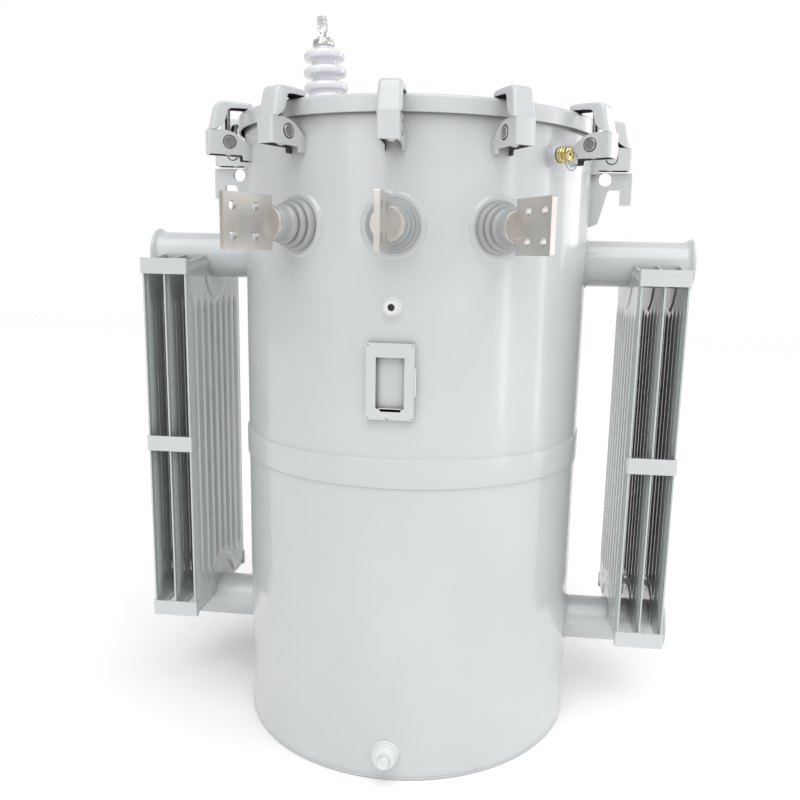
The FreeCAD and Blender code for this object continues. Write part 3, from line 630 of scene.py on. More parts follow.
def clamp_hook():
    """A channel section swept along the side profile.  At each step a line runs from the outer profile to
    the flange edge, and the section is laid off along it: down one flange, round the bend, over the face,
    round the other bend and back inside at the sheet's thickness.  The half width grows from 17.2 to 18.8 mm
    at the foot."""
    tip, waist = COVER_R - 16 * mm, TANK_R + 37 * mm
    top, foot, seat = HOOK_TOP, CLAMP_TOP + 0.2 * mm, COVER_TOP + 0.2 * mm
    face, toe = TANK_R + 57 * mm, TANK_R + 68 * mm
    middle = (top + foot) / 2
    outer = rounded([(tip, seat, 0), (tip, top - 1 * mm, 6 * mm), (TANK_R + 20 * mm, top, 8 * mm),
                     (face, top - 1 * mm, 17 * mm), (face + 5 * mm, middle, 10 * mm),
                     (toe - 2.5 * mm, foot + 9 * mm, 6 * mm), (toe, foot, 0)],
                    steps=6, closed=False, thin=False)
    inner = rounded([(tip + 7 * mm, seat, 0), (tip + 8 * mm, seat + 2.2 * mm, 1 * mm),
                     (waist - 16 * mm, seat + 2.2 * mm, 2 * mm), (waist, seat + 1 * mm, 6 * mm),
                     (waist + 4 * mm, middle - 2 * mm, 8 * mm), (waist + 9 * mm, foot + 9 * mm, 14 * mm),
                     (toe - 8 * mm, foot, 0)], steps=6, closed=False, thin=False)
    depth = np.linalg.norm(inner - outer, axis=1)
    into = (inner - outer) / depth[:, None]
    half = (17.2 + 1.6 * smooth((top - outer[:, 1]) / (top - foot))) * mm
    bend, sheet = 5.5 * mm, 3.2 * mm
    t = np.linspace(0, math.pi / 2, QUARTER - 1)
    turn_x, turn_d = 1 - np.cos(t), 1 - np.sin(t)
    skin = np.stack([np.r_[0, bend * turn_x], np.r_[0, bend * turn_d]])
    lining = sheet + (bend - sheet) * np.stack([turn_x, turn_d])
    lining = np.concatenate([[[sheet], [0]], lining], 1)
    section = np.concatenate([skin, skin[:, ::-1], lining, lining[:, ::-1]], 1)
    x = np.repeat([-1.0, 1.0, 1.0, -1.0], QUARTER) * (half[:, None] - section[0])
    at_edge = np.where(section[0] < bend, depth[:, None], 0)
    d = np.where(section[1] == 0, at_edge, section[1])
    d[:, [QUARTER - 1, QUARTER]] = 0
    d[:, [3 * QUARTER - 1, 3 * QUARTER]] = sheet
    line = outer[:, None, :] + into[:, None, :] * np.minimum(d, depth[:, None])[..., None]
    bm = to_bmesh(place(x, line[..., 0], line[..., 1]), False, True)
    # The lining's faces take the second material, painted shade inside the hook.
    for index, face in enumerate(bm.faces):
        face.material_index = int(2 * QUARTER <= index % (4 * QUARTER) < 4 * QUARTER - 1)
    bmesh.ops.holes_fill(bm, edges=[e for e in bm.edges if e.is_boundary], sides=0)
    return bm


# The hooks' lining takes the dark material, painted shade inside them.
finish("clamp_hook_channels", repeat(clamp_hook(), CLAMPS), PAINT, ["clamp_hooks"],
       bevel=0.6 * mm, sharp=40, inside=INSIDE_SHADE)

# %% Clamp pins, studs and nuts
def clamp_pin():
    """A turned pin: chamfered ends with a raised rim, and a shoulder that stands behind each cheek."""
    face, r, shoulder = CLAMP_HALF + 0.3 * mm, PIN_R, CLAMP_HALF - 4.6 * mm
    end = [(0, face), (r - 2.2 * mm, face), (r - 1.8 * mm, face + 0.7 * mm), (r - 0.7 * mm, face + 0.7 * mm),
           (r, face), (r, shoulder), (r + 3 * mm, shoulder)]
    return lathe(end + [(a, -h) for a, h in end[::-1]], 36, (0, -PIN_OUT, PIN_Z), (1, 0, 0))


def hexagon(flats, rows, turns=48, centre=(0, 0, 0), axis=(0, 0, 1), into=None):
    """A hexagonal head.  At angle t the flat sides stand at (flats / 2) / cos(t folded into a sixth turn),
    and the radius of each (limit, height) row cuts the corners off as a chamfer does."""
    t = np.linspace(0, 2 * math.pi, turns, endpoint=False)[:, None]
    sides = flats / 2 / np.cos((t + math.pi / 6) % (math.pi / 3) - math.pi / 6)
    limit, height = np.asarray(rows, float).T
    return revolve(np.minimum(sides, limit), height, turns, centre, axis, into=into)


def nut_rows(flats, low, high, chamfer=1.0 * mm):
    """Rows for a closed hexagon with both ends chamfered."""
    corner = flats / math.sqrt(3)
    return [(0, low), (corner - 1.6 * chamfer, low), (corner, low + chamfer), (corner, high - chamfer),
            (corner - 1.6 * chamfer, high), (0, high)]


def threaded(radius, depth, pitch, low, high, turns=14, per_turn=5):
    """A screw thread: radius less depth times a triangle wave of height / pitch minus the turn."""
    h = np.linspace(low, high, int((high - low) / pitch * per_turn))
    t = np.linspace(0, 2 * math.pi, turns, endpoint=False)[:, None]
    r = radius - depth * np.abs(((h / pitch - t / (2 * math.pi)) % 1.0) * 2 - 1)
    r[:, [0, -1]] = 0
    return to_bmesh(np.stack([r * np.cos(t), r * np.sin(t) - PIN_OUT, np.broadcast_to(h, r.shape)], -1), True)


side_clamps = [90.0, 270.0]
bare = [a for a in CLAMPS if a not in side_clamps]
finish("clamp_barrel_pins", repeat(clamp_pin(), bare), DARK_STEEL_AND_SHADE, ["clamp_pins"])
# Each bare pin's raised end rim is dark steel, but takes the bright plated finish as a painted highlight.
rim_in, rim_out, proud = PIN_R - 1.9 * mm, PIN_R - 0.1 * mm, CLAMP_HALF + 1.3 * mm
rim = [(rim_in, 0), (rim_in, proud), (rim_out - 0.4 * mm, proud), (rim_out, proud - 0.4 * mm), (rim_out, 0)]
rim = rim + [(a, -h) for a, h in rim[-2:0:-1]]
bm = lathe(rim, 36, (0, -PIN_OUT, PIN_Z), (1, 0, 0), closed=True)
finish("clamp_pin_rim_highlights", repeat(bm, bare), PLATED_AND_HIGHLIGHT, slot="dark_steel")
finish("clamp_side_pins", repeat(clamp_pin(), side_clamps), PAINT)
stud_low, stud_high = span("clamp_studs", 2)
STUD_NUT = 17 * mm
bm = threaded(5 * mm, 0.7 * mm, 1.75 * mm, stud_low, stud_high)
hexagon(STUD_NUT, nut_rows(STUD_NUT, stud_low + 2 * mm, stud_low + 11 * mm), 36, (0, -PIN_OUT, 0), into=bm)
finish("clamp_threaded_studs", repeat(bm, CLAMPS), PLATED_AND_HIGHLIGHT, ["clamp_studs"])

# %% [markdown]
# ## Lifting lugs
# A lug is a flame-cut plate with a hole for a shackle and a notch for a sling, welded to the wall under the
# clamp at each side.  An outline with a hole, thickened and with its edges eased, is all it needs; the weld
# is a rippled bead down both faces.

# %% Lifting lugs
LUG_LOW, LUG_TOP = span("lifting_lug_right", 2)
LUG_OUT = span("lifting_lug_right", 0)[1]
SIDES = {"left": -90.0, "right": 90.0}
notch_in, notch_z = TANK_R + 33 * mm, LUG_TOP - 31 * mm
notch_out, hook_low = notch_in + 24 * mm, LUG_TOP - 58 * mm
outline = rounded([(TANK_R - 2 * mm, LUG_LOW, 0), (TANK_R + 4 * mm, LUG_LOW, 0.5 * mm),
                   (TANK_R + 18 * mm, LUG_LOW + 6 * mm, 4 * mm), (notch_in, notch_z - 4 * mm, 4 * mm),
                   (notch_in + 4 * mm, notch_z, 2 * mm), (notch_out, notch_z, 2 * mm),
                   (notch_out, hook_low, 1 * mm), (LUG_OUT, hook_low, 1.5 * mm),
                   (LUG_OUT, LUG_TOP, 3 * mm), (TANK_R - 2 * mm, LUG_TOP, 0)])
eye = circle(TANK_R + 28 * mm, LUG_TOP - 12 * mm, 12.2 * mm, 44)
weld_z = np.linspace(LUG_LOW + 1 * mm, LUG_TOP - 1 * mm, 90)
for name, azimuth in SIDES.items():
    bm = flat_plate([outline, eye], 10 * mm, lambda out, z, x: place(x, out, z, azimuth))
    for x in (-5.2 * mm, 5.2 * mm):
        path = place(x, TANK_R - 0.3 * mm, weld_z, azimuth)
        bead(path, 2.6 * mm, place(0, 1, 0, azimuth), closed=False, into=bm)
    finish("lug_" + name, bm, PAINT, ["lifting_lug_" + name], bevel=0.8 * mm)

# %% [markdown]
# ## Low-voltage bushings
# Each bushing sits on a flat seat pressed out of the round wall.  The seat is worked out in polar
# coordinates round the bushing's axis: flat in the middle, then easing down on to the cylinder.  The
# moulding is turned from a profile with a groove and full, rounded shoulders, and a tinned spade stands on
# the metal disc in its end.

# %% Seats, bushings and spades
LV_AZIMUTHS = {"left": -30.0, "centre": 0.0, "right": 30.0}
SEAT = TANK_R + 2.5 * mm
SEAT_R = half_size("lv_boss_centre", 0)
SPADE_END = -span("lv_spade_centre", 1)[0]
SPADE_LOW, SPADE_HIGH = span("lv_spade_centre", 2)
BODY_R = half_size("lv_bushing_centre", 0)
BLADE_LEN, SHANK_HOLE, SEAT_BLEND = 98 * mm, 24.4 * mm, 5 * mm
DISC_FACE = SPADE_END - BLADE_LEN


def lv_seat(azimuth):
    """out = seat * (1 - s) + wall * s, where s eases from 0 to 1 over the last 5 mm of radius and the wall
    stands at the root of tank radius squared less x squared; the same grid, 3 mm further in, closes it."""
    rho = np.concatenate([[SHANK_HOLE], np.linspace(30 * mm, SEAT_R - 5 * mm, 4),
                          np.linspace(SEAT_R - 3 * mm, SEAT_R + 4 * mm, 12)])
    t = np.linspace(0, 2 * math.pi, 120, endpoint=False)[:, None]
    x, z = rho * np.cos(t), rho * np.sin(t)
    wall = np.sqrt(TANK_R ** 2 - x ** 2)
    ease = smooth((rho - (SEAT_R - SEAT_BLEND / 2)) / SEAT_BLEND)
    out = SEAT * (1 - ease) + (wall - 0.15 * mm) * ease
    behind = np.minimum(out, wall) - 3 * mm
    x, z, out = (np.concatenate([a, b[:, ::-1]], 1) for a, b in ((x, x), (z, z), (out, behind)))
    return to_bmesh(place(x, out, z + LV_Z, azimuth), True, True)


body = BODY_R / mm
steps = [(24, 0.3, 0), (body, 0.3, 2)]
for k, radius in enumerate((body, body - 5.5, body - 10.5)):
    low = 11 + 12 * k
    steps += [(radius, low, 5), (radius - 9, low + 2, 1.2), (radius - 5.5, low + 4.5, 2)]
steps = steps[:-2] + [(27.5, 38, 1.5)]
end = (DISC_FACE - SEAT) / mm
steps += [(27.5, end - 4, 3), (25.5, end, 1), (0, end, 0)]
shank = [(0, SEAT - 12 * mm), (24 * mm, SEAT - 12 * mm), (24 * mm, SEAT + 0.3 * mm)]
moulding = shank + list(turned(steps, SEAT, steps=8))
disc = [(0, -2, 0), (26, -2, 0.8), (26, 5, 1.2), (19, 5, 0.4), (18, 4.4, 0.4), (0, 4.4, 0)]
disc = turned(disc, DISC_FACE)
root = DISC_FACE + 1 * mm
blade = rounded([(root, SPADE_LOW), (SPADE_END, SPADE_LOW), (SPADE_END, SPADE_HIGH), (root, SPADE_HIGH)],
                2.2 * mm)
HOLE_PITCH, HOLE_R = 44.45 * mm, 7.15 * mm
holes = [circle(SPADE_END - 18 * mm - a, LV_Z + b, HOLE_R, 32)
         for a in (0, HOLE_PITCH) for b in (-HOLE_PITCH / 2, HOLE_PITCH / 2)]
for name, azimuth in LV_AZIMUTHS.items():
    finish("lv_seat_" + name, lv_seat(azimuth), PAINT, ["lv_boss_" + name], sharp=60)
    finish("lv_moulding_" + name, lathe_out(moulding, azimuth, LV_Z), MOULDING,
           ["lv_bushing_" + name], sharp=50)
    bm = flat_plate([blade] + holes, 8.5 * mm, lambda out, z, x: place(x, out, z, azimuth))
    lathe_out(disc, azimuth, LV_Z, 72, into=bm)
    finish("lv_blade_" + name, bm, TINNED, ["lv_spade_" + name], bevel=0.7 * mm)

# %% [markdown]
# ## High-voltage bushing
# The bushing stands square to the crown of the cover, so its parts are turned upright first and then moved
# by one matrix.  Its porcelain is a single profile: a plain foot, three sheds with full rounded rims and
# concave necks between them.  On top sit a collar, an eye for the line wire and a knurled nut.

# %% High-voltage bushing
HV_AZIMUTH, HV_INSET = -107.5, 106 * mm      # its inset counts from the edge of the crown
HV_OUT = dome_r - HV_INSET
lean = math.asin(HV_OUT / DOME_RADIUS)
HV = (Matrix.Rotation(math.radians(HV_AZIMUTH), 4, "Z")
      @ Matrix.Translation((0, -HV_OUT, float(dome(HV_OUT)))) @ Matrix.Rotation(lean, 4, "X"))


def on_cover(bm):
    """Moves an upright piece to its place on the crown."""
    bmesh.ops.transform(bm, matrix=HV, verts=bm.verts)
    return bm


def nut_ring(bm, count, first, radius, flats, rows, turns):
    """Adds hexagonal nuts evenly round the upright axis, the first at an angle in degrees."""
    for k in range(count):
        a = math.radians(first + 360 / count * k)
        hexagon(flats, rows, turns, (radius * math.cos(a), radius * math.sin(a), 0), into=bm)


flange = [(38.6, -2.5, 0), (52, -2.5, 0.5), (52, 8, 2.5), (46, 10, 3), (38.6, 10, 1)]
bm = lathe(turned(flange, closed=True), 96, closed=True)
nut_ring(bm, 4, 45, 46.4 * mm, 9 * mm, nut_rows(9 * mm, 6 * mm, 13.5 * mm, 0.7 * mm), 36)
finish("hv_clamp_ring", on_cover(bm), PAINT, ["hv_flange"])

glaze = [(0, 0.4, 0), (39, 0.4, 1), (39, 56, 8), (35, 62, 4)]
for shed_r, z in ((44, 74.5), (43, 104.5), (40.5, 134.5)):
    glaze += [(shed_r - 9, z - 8.5, 4), (shed_r - 1.5, z - 8, 8), (shed_r, z + 2, 6), (shed_r - 5, z + 7, 7),
              (30, z + 8.5, 6), (25, z + 12.5, 6), (26, z + 19.5, 5)]
glaze = glaze[:-2] + [(19, 143.5, 3), (18.5, 152, 1), (0, 152, 0)]
finish("hv_porcelain", on_cover(lathe(turned(glaze, steps=8), 120)), PORCELAIN, ["hv_bushing"],
       sharp=60)

CAP_LOW, CAP_HIGH, EYE_Z = 152 * mm, 164 * mm, 186 * mm
collar = [(0, 0, 0), (21.5, 0, 1.5), (21.5, 7, 1), (19.5, 8, 1), (19.5, 12, 1.5), (0, 12, 0)]
bm = lathe(turned(collar, CAP_LOW), 72)
nut_ring(bm, 5, 0, 17 * mm, 6.5 * mm, nut_rows(6.5 * mm, CAP_LOW + 8 * mm, CAP_HIGH + 2.5 * mm, 0.5 * mm), 24)
finish("hv_collar", on_cover(bm), PLATED_AND_HIGHLIGHT, ["hv_cap"])


def knurled_nut(radius, low, high, into, teeth=30, depth=0.55 * mm):
    """A knurled nut: radius less depth times |sin(teeth t / 2)|, its ends chamfered by a millimetre."""
    turns = 180
    t = np.linspace(0, 2 * math.pi, turns, endpoint=False)[:, None]
    middle, step = (low + high) / 2, 1 * mm
    z = np.array([low, low, low + step, middle - step, middle, middle + step, high - step, high, high])
    inset = np.array([radius, 1.2 * mm, 0, 0, 1.3 * mm, 0, 0, 1.2 * mm, radius])
    r = np.maximum(radius - inset - depth * np.abs(np.sin(teeth * t / 2)) * (inset < radius), 0)
    return revolve(r, z, turns, into=into)


eye_section = turned([(5.5, -6, 0.8), (9.3, -6, 2), (9.3, 6, 2), (5.5, 6, 0.8)], closed=True)
bm = lathe(eye_section, 60, (0, 0, EYE_Z), (0, -1, 0), closed=True)
stem = [(0, -23, 0), (11, -23, 1), (11, -19, 1), (6.5, -17, 1.5), (6, -7, 2), (0, -6.5, 0)]
lathe(turned(stem, EYE_Z), 48, into=bm)
post = [(0, 6, 0), (6.2, 6, 1), (6.2, 8.5, 0.5), (0, 8.5, 0)]
lathe(turned(post, EYE_Z), 36, into=bm)
knurled_nut(10 * mm, EYE_Z + 6.5 * mm, EYE_Z + 21.5 * mm, bm)
screw = [(0, 6, 0), (4.5, 6, 0.3), (4.5, 12.5, 1), (0, 13, 0)]
lathe(turned(screw), 32, (0, 0, CAP_HIGH + 5 * mm), (0, -1, 0), into=bm)
bmesh.ops.rotate(bm, verts=bm.verts, matrix=Matrix.Rotation(math.radians(-HV_AZIMUTH), 3, "Z"))
finish("hv_eye_and_nut", on_cover(bm), PLATED_AND_HIGHLIGHT, ["hv_eyebolt"])

# %% [markdown]
# ## Fittings on the wall
# A brass relief valve with its pull ring, an open level port and a drain plug.  They are profiles turned
# round level axes, and each stands in a small weld bead that follows the round wall.

# %% Relief valve
def collar_bead(azimuth, z, radius, bead_r, into):
    """A bead round a pipe of this radius where it meets the tank: x and z on the circle, out on the
    cylinder."""
    steps = max(40, int(radius / mm * 5))
    x, dz = circle(0, 0, radius, steps).T
    path = place(x, np.sqrt(TANK_R ** 2 - x ** 2), z + dz, azimuth)
    return bead(path, bead_r, place(0, 1, 0, azimuth), pitch=3.2 * mm, into=into)


def socket(name, rows, azimuth, z, turns, weld_r, weld, material, node_name):
    """A coupling turned round a level axis, with its bead; heights count from the tank's wall."""
    bm = lathe_out(turned(rows, TANK_R), azimuth, z, turns)
    collar_bead(azimuth, z, weld_r, weld, bm)
    return finish(name, bm, material, [node_name])


RELIEF_AZ, RELIEF_Z, RELIEF_LEN = 47.8, centre_of("relief_coupling", 2), 19
boss = [(0, -6, 0), (15.5, -6, 0.3), (15.5, 19, 1.5), (11.5, 19, 0.8), (11.5, 17.5, 0.3), (0, 17.5, 0)]
socket("relief_socket", boss, RELIEF_AZ, RELIEF_Z, 64, 15.5 * mm, 1.8 * mm, PAINT, "relief_coupling")
relief_end = TANK_R + RELIEF_LEN * mm
steps = [(0, -1), (10.4, -1), (10.4, 1), (12.5, 1.6), (12.5, 4), (11.9, 4.6), (12.5, 5.2), (12.5, 8.6),
         (11.2, 10), (9, 10.4), (9, 12), (9.8, 12.6), (9, 13.4), (9, 15), (10.2, 15.6), (11, 16.6),
         (11, 20.4), (10, 21.6), (4, 22), (2.4, 21.4), (2.4, 18), (1.5, 18), (1.5, 25.4), (0, 26)]
valve = turned([(r, h, 0.35) for r, h in steps], relief_end, steps=3)
finish("relief_brass", lathe_out(valve, RELIEF_AZ, RELIEF_Z, 64), BRASS, ["relief_valve"])
PULL_RING = 1.12 * half_size("relief_pull_ring", 2)
x, z = circle(0, centre_of("relief_pull_ring", 2), PULL_RING, 96).T
path = place(x, relief_end + 24 * mm, z, RELIEF_AZ)
bm = bead(path, 0.9 * mm, place(0, 1, 0, RELIEF_AZ), ripple=0.0, sides=10)
# The pull ring is plated steel; its dark bare-steel finish is painted shade.
finish("relief_ring", bm, DARK_STEEL_AND_SHADE, ["relief_pull_ring"], slot="plated_steel")

# %% Level port
LEVEL_Z = centre_of("level_port", 2)
LEVEL_LEN = (-span("level_port", 1)[0] - TANK_R) / mm
port = [(0, -6, 0), (15, -6, 0.3), (15, 3, 2.5), (12, 4.5, 1.5), (12, LEVEL_LEN, 1.8), (6.6, LEVEL_LEN, 0.7),
        (5.5, LEVEL_LEN - 1.2, 0.3), (5.5, LEVEL_LEN - 8, 0.2), (0, LEVEL_LEN - 8, 0)]
socket("level_socket", port, 0, LEVEL_Z, 72, 15 * mm, 1.8 * mm, LIGHTER_FITTING_PAINT, "level_port")
# A dark disc inside the open port's bore: painted shade in the hole.
shade = turned([(0, -8.5, 0), (5.7, -8.5, 0), (5.7, -3, 0), (0, -3, 0)], TANK_R + LEVEL_LEN * mm)
finish("level_bore_shade", lathe_out(shade, 0, LEVEL_Z, 32), RUBBER_AND_SHADE)

# %% Drain plug
DRAIN_Z, DRAIN_LEN = centre_of("drain_coupling", 2), 12
drain_end = TANK_R + DRAIN_LEN * mm
boss = [(0, -6, 0), (23, -6, 0.3), (23, 12, 2), (21.5, 12, 0.5), (0, 12, 0)]
socket("drain_socket", boss, 0, DRAIN_Z, 72, 23 * mm, 2.2 * mm, LIGHTER_FITTING_PAINT, "drain_coupling")
# A thin dark plate on the boss's face: painted shade standing for a slot cut in it.
slot = rounded(from_mm([(2, 14, 0.5), (4, 14, 0.5), (4, 20.5, 0.5), (2, 20.5, 0.5)]), steps=4)
bm = flat_plate([slot], 0.5 * mm, lambda x, z, out: place(x, drain_end + out, z + DRAIN_Z))
finish("drain_slot_shade", bm, RUBBER_AND_SHADE)
steps = [(0, -1), (20.5, -1), (21, 0.4), (21, 2.6), (18.4, 3.4), (18.4, 8), (17.4, 9), (0, 9)]
plug = turned([(r, h, 0.5) for r, h in steps], drain_end, steps=4)
bm = lathe_out(plug, 0, DRAIN_Z, 72)
DRAIN_HEX = 19 * mm
corner = DRAIN_HEX / mm / math.sqrt(3)
head = [(0, 8.6), (corner, 8.6), (corner, 19.6), (corner - 1.8, 21), (6.2, 21), (5.4, 20.4), (0, 20.4)]
rows = [(r * mm, drain_end + h * mm) for r, h in head]
hexagon(DRAIN_HEX, rows, 72, (0, 0, DRAIN_Z), (0, -1, 0), into=bm)
finish("drain_head", bm, LIGHTER_FITTING_PAINT, ["drain_plug"])

# %% [markdown]
# ## Nameplate frame
# The frame is a pan folded from sheet: one open skin, cut with a window and thickened inwards.  It holds no
# plate.  A stop tab stands at its right edge, and a short lip under the window would carry the plate.

# %% Nameplate frame
PLATE_LOW, PLATE_HIGH = span("nameplate_frame", 2)
PLATE_FACE = -span("nameplate_frame", 1)[0]
PLATE_HALF = span("nameplate_frame", 0)[1]
NOTCH = (-6 * mm, -1 * mm)      # a slot in the lower edge, from x to x


def nameplate_skin():
    """The outer skin of a folded pan: a face with a window and relief holes, two sides back to the wall, and
    short lips above and below."""
    w, low, high = PLATE_HALF, PLATE_LOW, PLATE_HIGH
    left, right, top = *NOTCH, low + 3 * mm
    face = [(-w, low), (left, low), (left, top), (right, top), (right, low), (w, low), (w, high), (-w, high)]
    window = rounded(from_mm([(-23, 18, 1.2), (23, 18, 1.2), (23, 101, 1.2), (-23, 101, 1.2)], b=low))
    inset = 3.2 * mm
    relief = [circle(x, z, 1.1 * mm, 12) for x in (inset - w, w - inset) for z in (low + inset, high - inset)]
    bm = fill([face, window] + relief, lambda x, z: place(x, PLATE_FACE, z))
    root = math.sqrt(TANK_R ** 2 - w ** 2) - 1 * mm
    for x in (-w, w):
        to_bmesh(np.stack([place(x, out, [low, high]) for out in (PLATE_FACE, root)], 1), into=bm)
    for z, x0, x1 in ((low, -w, left), (low, right, w), (high, -w, w)):
        lip = [place([x0, x1], out, z) for out in (PLATE_FACE, PLATE_FACE - 6 * mm)]
        to_bmesh(np.stack(lip, 1), into=bm)
    return orient(bm, (0, -1, 0))


finish("nameplate_pan", nameplate_skin(), PAINT, ["nameplate_frame"], oriented=True,
       sheet=2.2 * mm, bevel=0.8 * mm)

# %% Stops on the nameplate frame
tab = [(-1, 38, 0.8), (3, 40, 0.8), (3, 84, 0.8), (-1, 86, 0.8)]
tab = rounded(from_mm(tab, PLATE_HALF, PLATE_LOW), steps=4)
lip = [(-15, 13.5, 0.8), (17, 13.5, 0.8), (20, 19, 0.8), (-18, 19, 0.8)]
lip = rounded(from_mm(lip, 0, PLATE_LOW), steps=4)
bm = flat_plate([tab], 1.6 * mm, lambda x, z, out: place(x, PLATE_FACE - 3 * mm + out, z))
flat_plate([lip], 1.8 * mm, lambda x, z, out: place(x, PLATE_FACE - 0.9 * mm + out, z), bm)
finish("nameplate_stops", bm, LIGHTER_FITTING_PAINT, bevel=0.4 * mm)

# %% [markdown]
# ## Radiators
# Each side has an upper and a lower header pipe, three pressed fins and five straps.  A fin is a height
# field: half its thickness is a function of x and z that starts at the thin welded seam, rises to the panel,
# carries eight flutes that fade out at both ends, and steps up in arcs round the headers.  The same field,
# mirrored, makes the back.  Rows are close together only where the shape changes.

# %% Headers
def header(z, azimuth):
    """A pipe whose end flares into a rounded lip, closed by a slightly dished end."""
    foot, crown = TANK_R - 8 * mm, HEADER_END + 10.8 * mm
    lip = [(0, -3, 5), (6.2, 5, 2), (7, 8, 1.2), (5, 10.6, 2), (-4, 7.5, 3), (-8, 9.5, 4)]
    profile = [(0, foot, 0), (HEADER_R, foot, 0.3 * mm)]
    profile += from_mm(lip, HEADER_R, HEADER_END) + [(0, crown, 0)]
    return lathe_out(rounded(profile, steps=6, closed=False), azimuth, z, 128)


PIPE_WELD = 3.6 * mm
for name, azimuth in SIDES.items():
    for level, z in (("upper", UPPER_Z), ("lower", LOWER_Z)):
        bm = header(z, azimuth)
        collar_bead(azimuth, z, HEADER_R, PIPE_WELD, bm)
        replaced = ["%s_%s_header" % (name, level)]
        if level == "upper":
            replaced.append("%s_header_caps" % name)
        finish("%s_%s_pipe" % (name, level), bm, PAINT, replaced)

# %% Fins
FIN_HALF = half_size("right_fin_1", 1)
FIN_LOW = span("right_fin_1", 2)[0]
FIN_SHOULDER = UPPER_Z - 15 * mm
CREST, VALLEY, SEAM, MARGIN, FLUTES = 6 * mm, 2.6 * mm, 1.5 * mm, 11 * mm, 8
PANEL = FIN_HALF - MARGIN
CLOSE_ROWS = 112 * mm                       # how far from each end the rows are close together
OVAL_WIDE, OVAL_TALL = 68 * mm, 89 * mm     # half sizes of the outer oval round the upper pipe
OUTER_RING, INNER_RING = 88 * mm, 72 * mm   # radii of the circles round the lower pipe
BEAD_START = 0.31      # the lower pipe's bead starts at this angle over the level, in radians


def fin_grid():
    """x runs over the width, closer near the seams and the pipe; z runs from the lower outline to the upper
    one."""
    inside = HEADER_R * np.sin(np.linspace(-math.pi / 2, math.pi / 2, 29))
    seam = PANEL + MARGIN * np.array([0.12, 0.3, 0.5, 0.75, 1])
    side = np.concatenate([np.linspace(HEADER_R, PANEL, 44)[1:], seam])
    x = np.concatenate([-side[::-1], inside, side])
    chord = np.sqrt(np.maximum(HEADER_R ** 2 - x ** 2, 0))
    at_pipe = np.abs(x) < HEADER_R
    low = np.maximum(FIN_LOW, np.where(at_pipe, LOWER_Z + chord, FIN_LOW))
    rise = np.clip((FIN_HALF - np.abs(x)) / (FIN_HALF - HEADER_R), 0, 1)
    high = np.where(at_pipe, UPPER_Z - chord, FIN_SHOULDER + rise * (UPPER_Z - FIN_SHOULDER))
    z1, z2 = FIN_LOW + CLOSE_ROWS, FIN_SHOULDER - CLOSE_ROWS
    near = np.concatenate([[0, 0.012, 0.03, 0.055], np.linspace(0.08, 1, 42)])
    z = np.concatenate([low + near[:, None] * (z1 - low), np.linspace(z1, z2, 7)[1:-1, None] + 0 * x,
                        z2 + (1 - near[::-1, None]) * (high - z2)])
    return np.broadcast_to(x, z.shape), z, low, high


def step_in(distance, width):
    """0 outside an outline, 1 inside it, easing over the width."""
    return smooth(distance / width)


def fin_half_thickness(x, z, low, high):
    """Half the fin's thickness: from the seam it eases up to the panel at the margin.  The panel is the crest
    height less the flutes, which are 1 - |sin|^0.75 across and fade out above and below; round the upper pipe
    it steps up inside two ovals, and round the lower one it steps up and down inside two circles."""
    across = np.abs(x)
    ends = np.where(across < HEADER_R - 1 * mm, 1.0, np.minimum(z - low, high - z))
    body = step_in(np.minimum(FIN_HALF - across, ends) - MARGIN * 0.75, 7 * mm)
    pitch = 2 * PANEL / FLUTES
    phase = (x + PANEL) / pitch
    groove = np.where(across > PANEL - 2 * mm, 0, 1 - np.abs(np.sin(math.pi * phase)) ** 0.75)
    oval = np.sqrt((x / OVAL_WIDE) ** 2 + ((UPPER_Z - z) / OVAL_TALL) ** 2)
    ring = np.sqrt(x ** 2 + (z - LOWER_Z) ** 2)
    fade = step_in(z - FIN_LOW - 52 * mm, 30 * mm) * step_in(FIN_SHOULDER - 58 * mm - z, 34 * mm)
    fade = fade * step_in(oval - 1.0, 0.16) * step_in(ring - 92 * mm, 14 * mm)
    flat_drop = 1.9 * mm * (1 - fade)
    flutes = (CREST - VALLEY) * groove * fade
    step_up = 1.9 * mm * step_in(1.0 - oval, 0.06) + 1.1 * mm * step_in(0.80 - oval, 0.05)
    step_low = 1.6 * mm * step_in(OUTER_RING - ring, 5 * mm) - 2.4 * mm * step_in(INNER_RING - ring, 5 * mm)
    height = CREST - flat_drop - flutes + step_up + step_low
    # a spot-weld dimple stands under each flute, alternate ones 9 mm higher
    index = np.round(phase - 0.5)
    centre = (index + 0.5) * pitch - PANEL
    row = FIN_LOW + (50 + 9 * (index % 2)) * mm
    dimple = np.exp(-((x - centre) ** 2 + (z - row) ** 2) / (2 * (3.2 * mm) ** 2)) * (across < PANEL * 0.8)
    height = np.minimum(height + 1.5 * mm * dimple, CREST)
    return SEAM + (height - SEAM) * body


def fin(out, azimuth):
    """Front and back of the height field, the rims between them, and a bead round the part of each pipe that
    the fin is fitted to."""
    x, z, low, high = fin_grid()
    half = fin_half_thickness(x, z, low, high)
    front, back = place(x, out + half, z, azimuth), place(x, out - half, z, azimuth)
    bm = to_bmesh(front)
    to_bmesh(back, into=bm)
    for edge in (np.s_[0], np.s_[-1], np.s_[:, 0], np.s_[:, -1]):
        to_bmesh(np.stack([front[edge], back[edge]], 0), into=bm)
    for pipe_z, start, stop in ((UPPER_Z, -math.pi, 0), (LOWER_Z, BEAD_START, math.pi - BEAD_START)):
        t = np.linspace(start, stop, 60)
        path = place(HEADER_R * np.cos(t), out, pipe_z + HEADER_R * np.sin(t), azimuth)
        bead(path, PIPE_WELD, place(0, 1, 0, azimuth), closed=False, into=bm)
    return bm


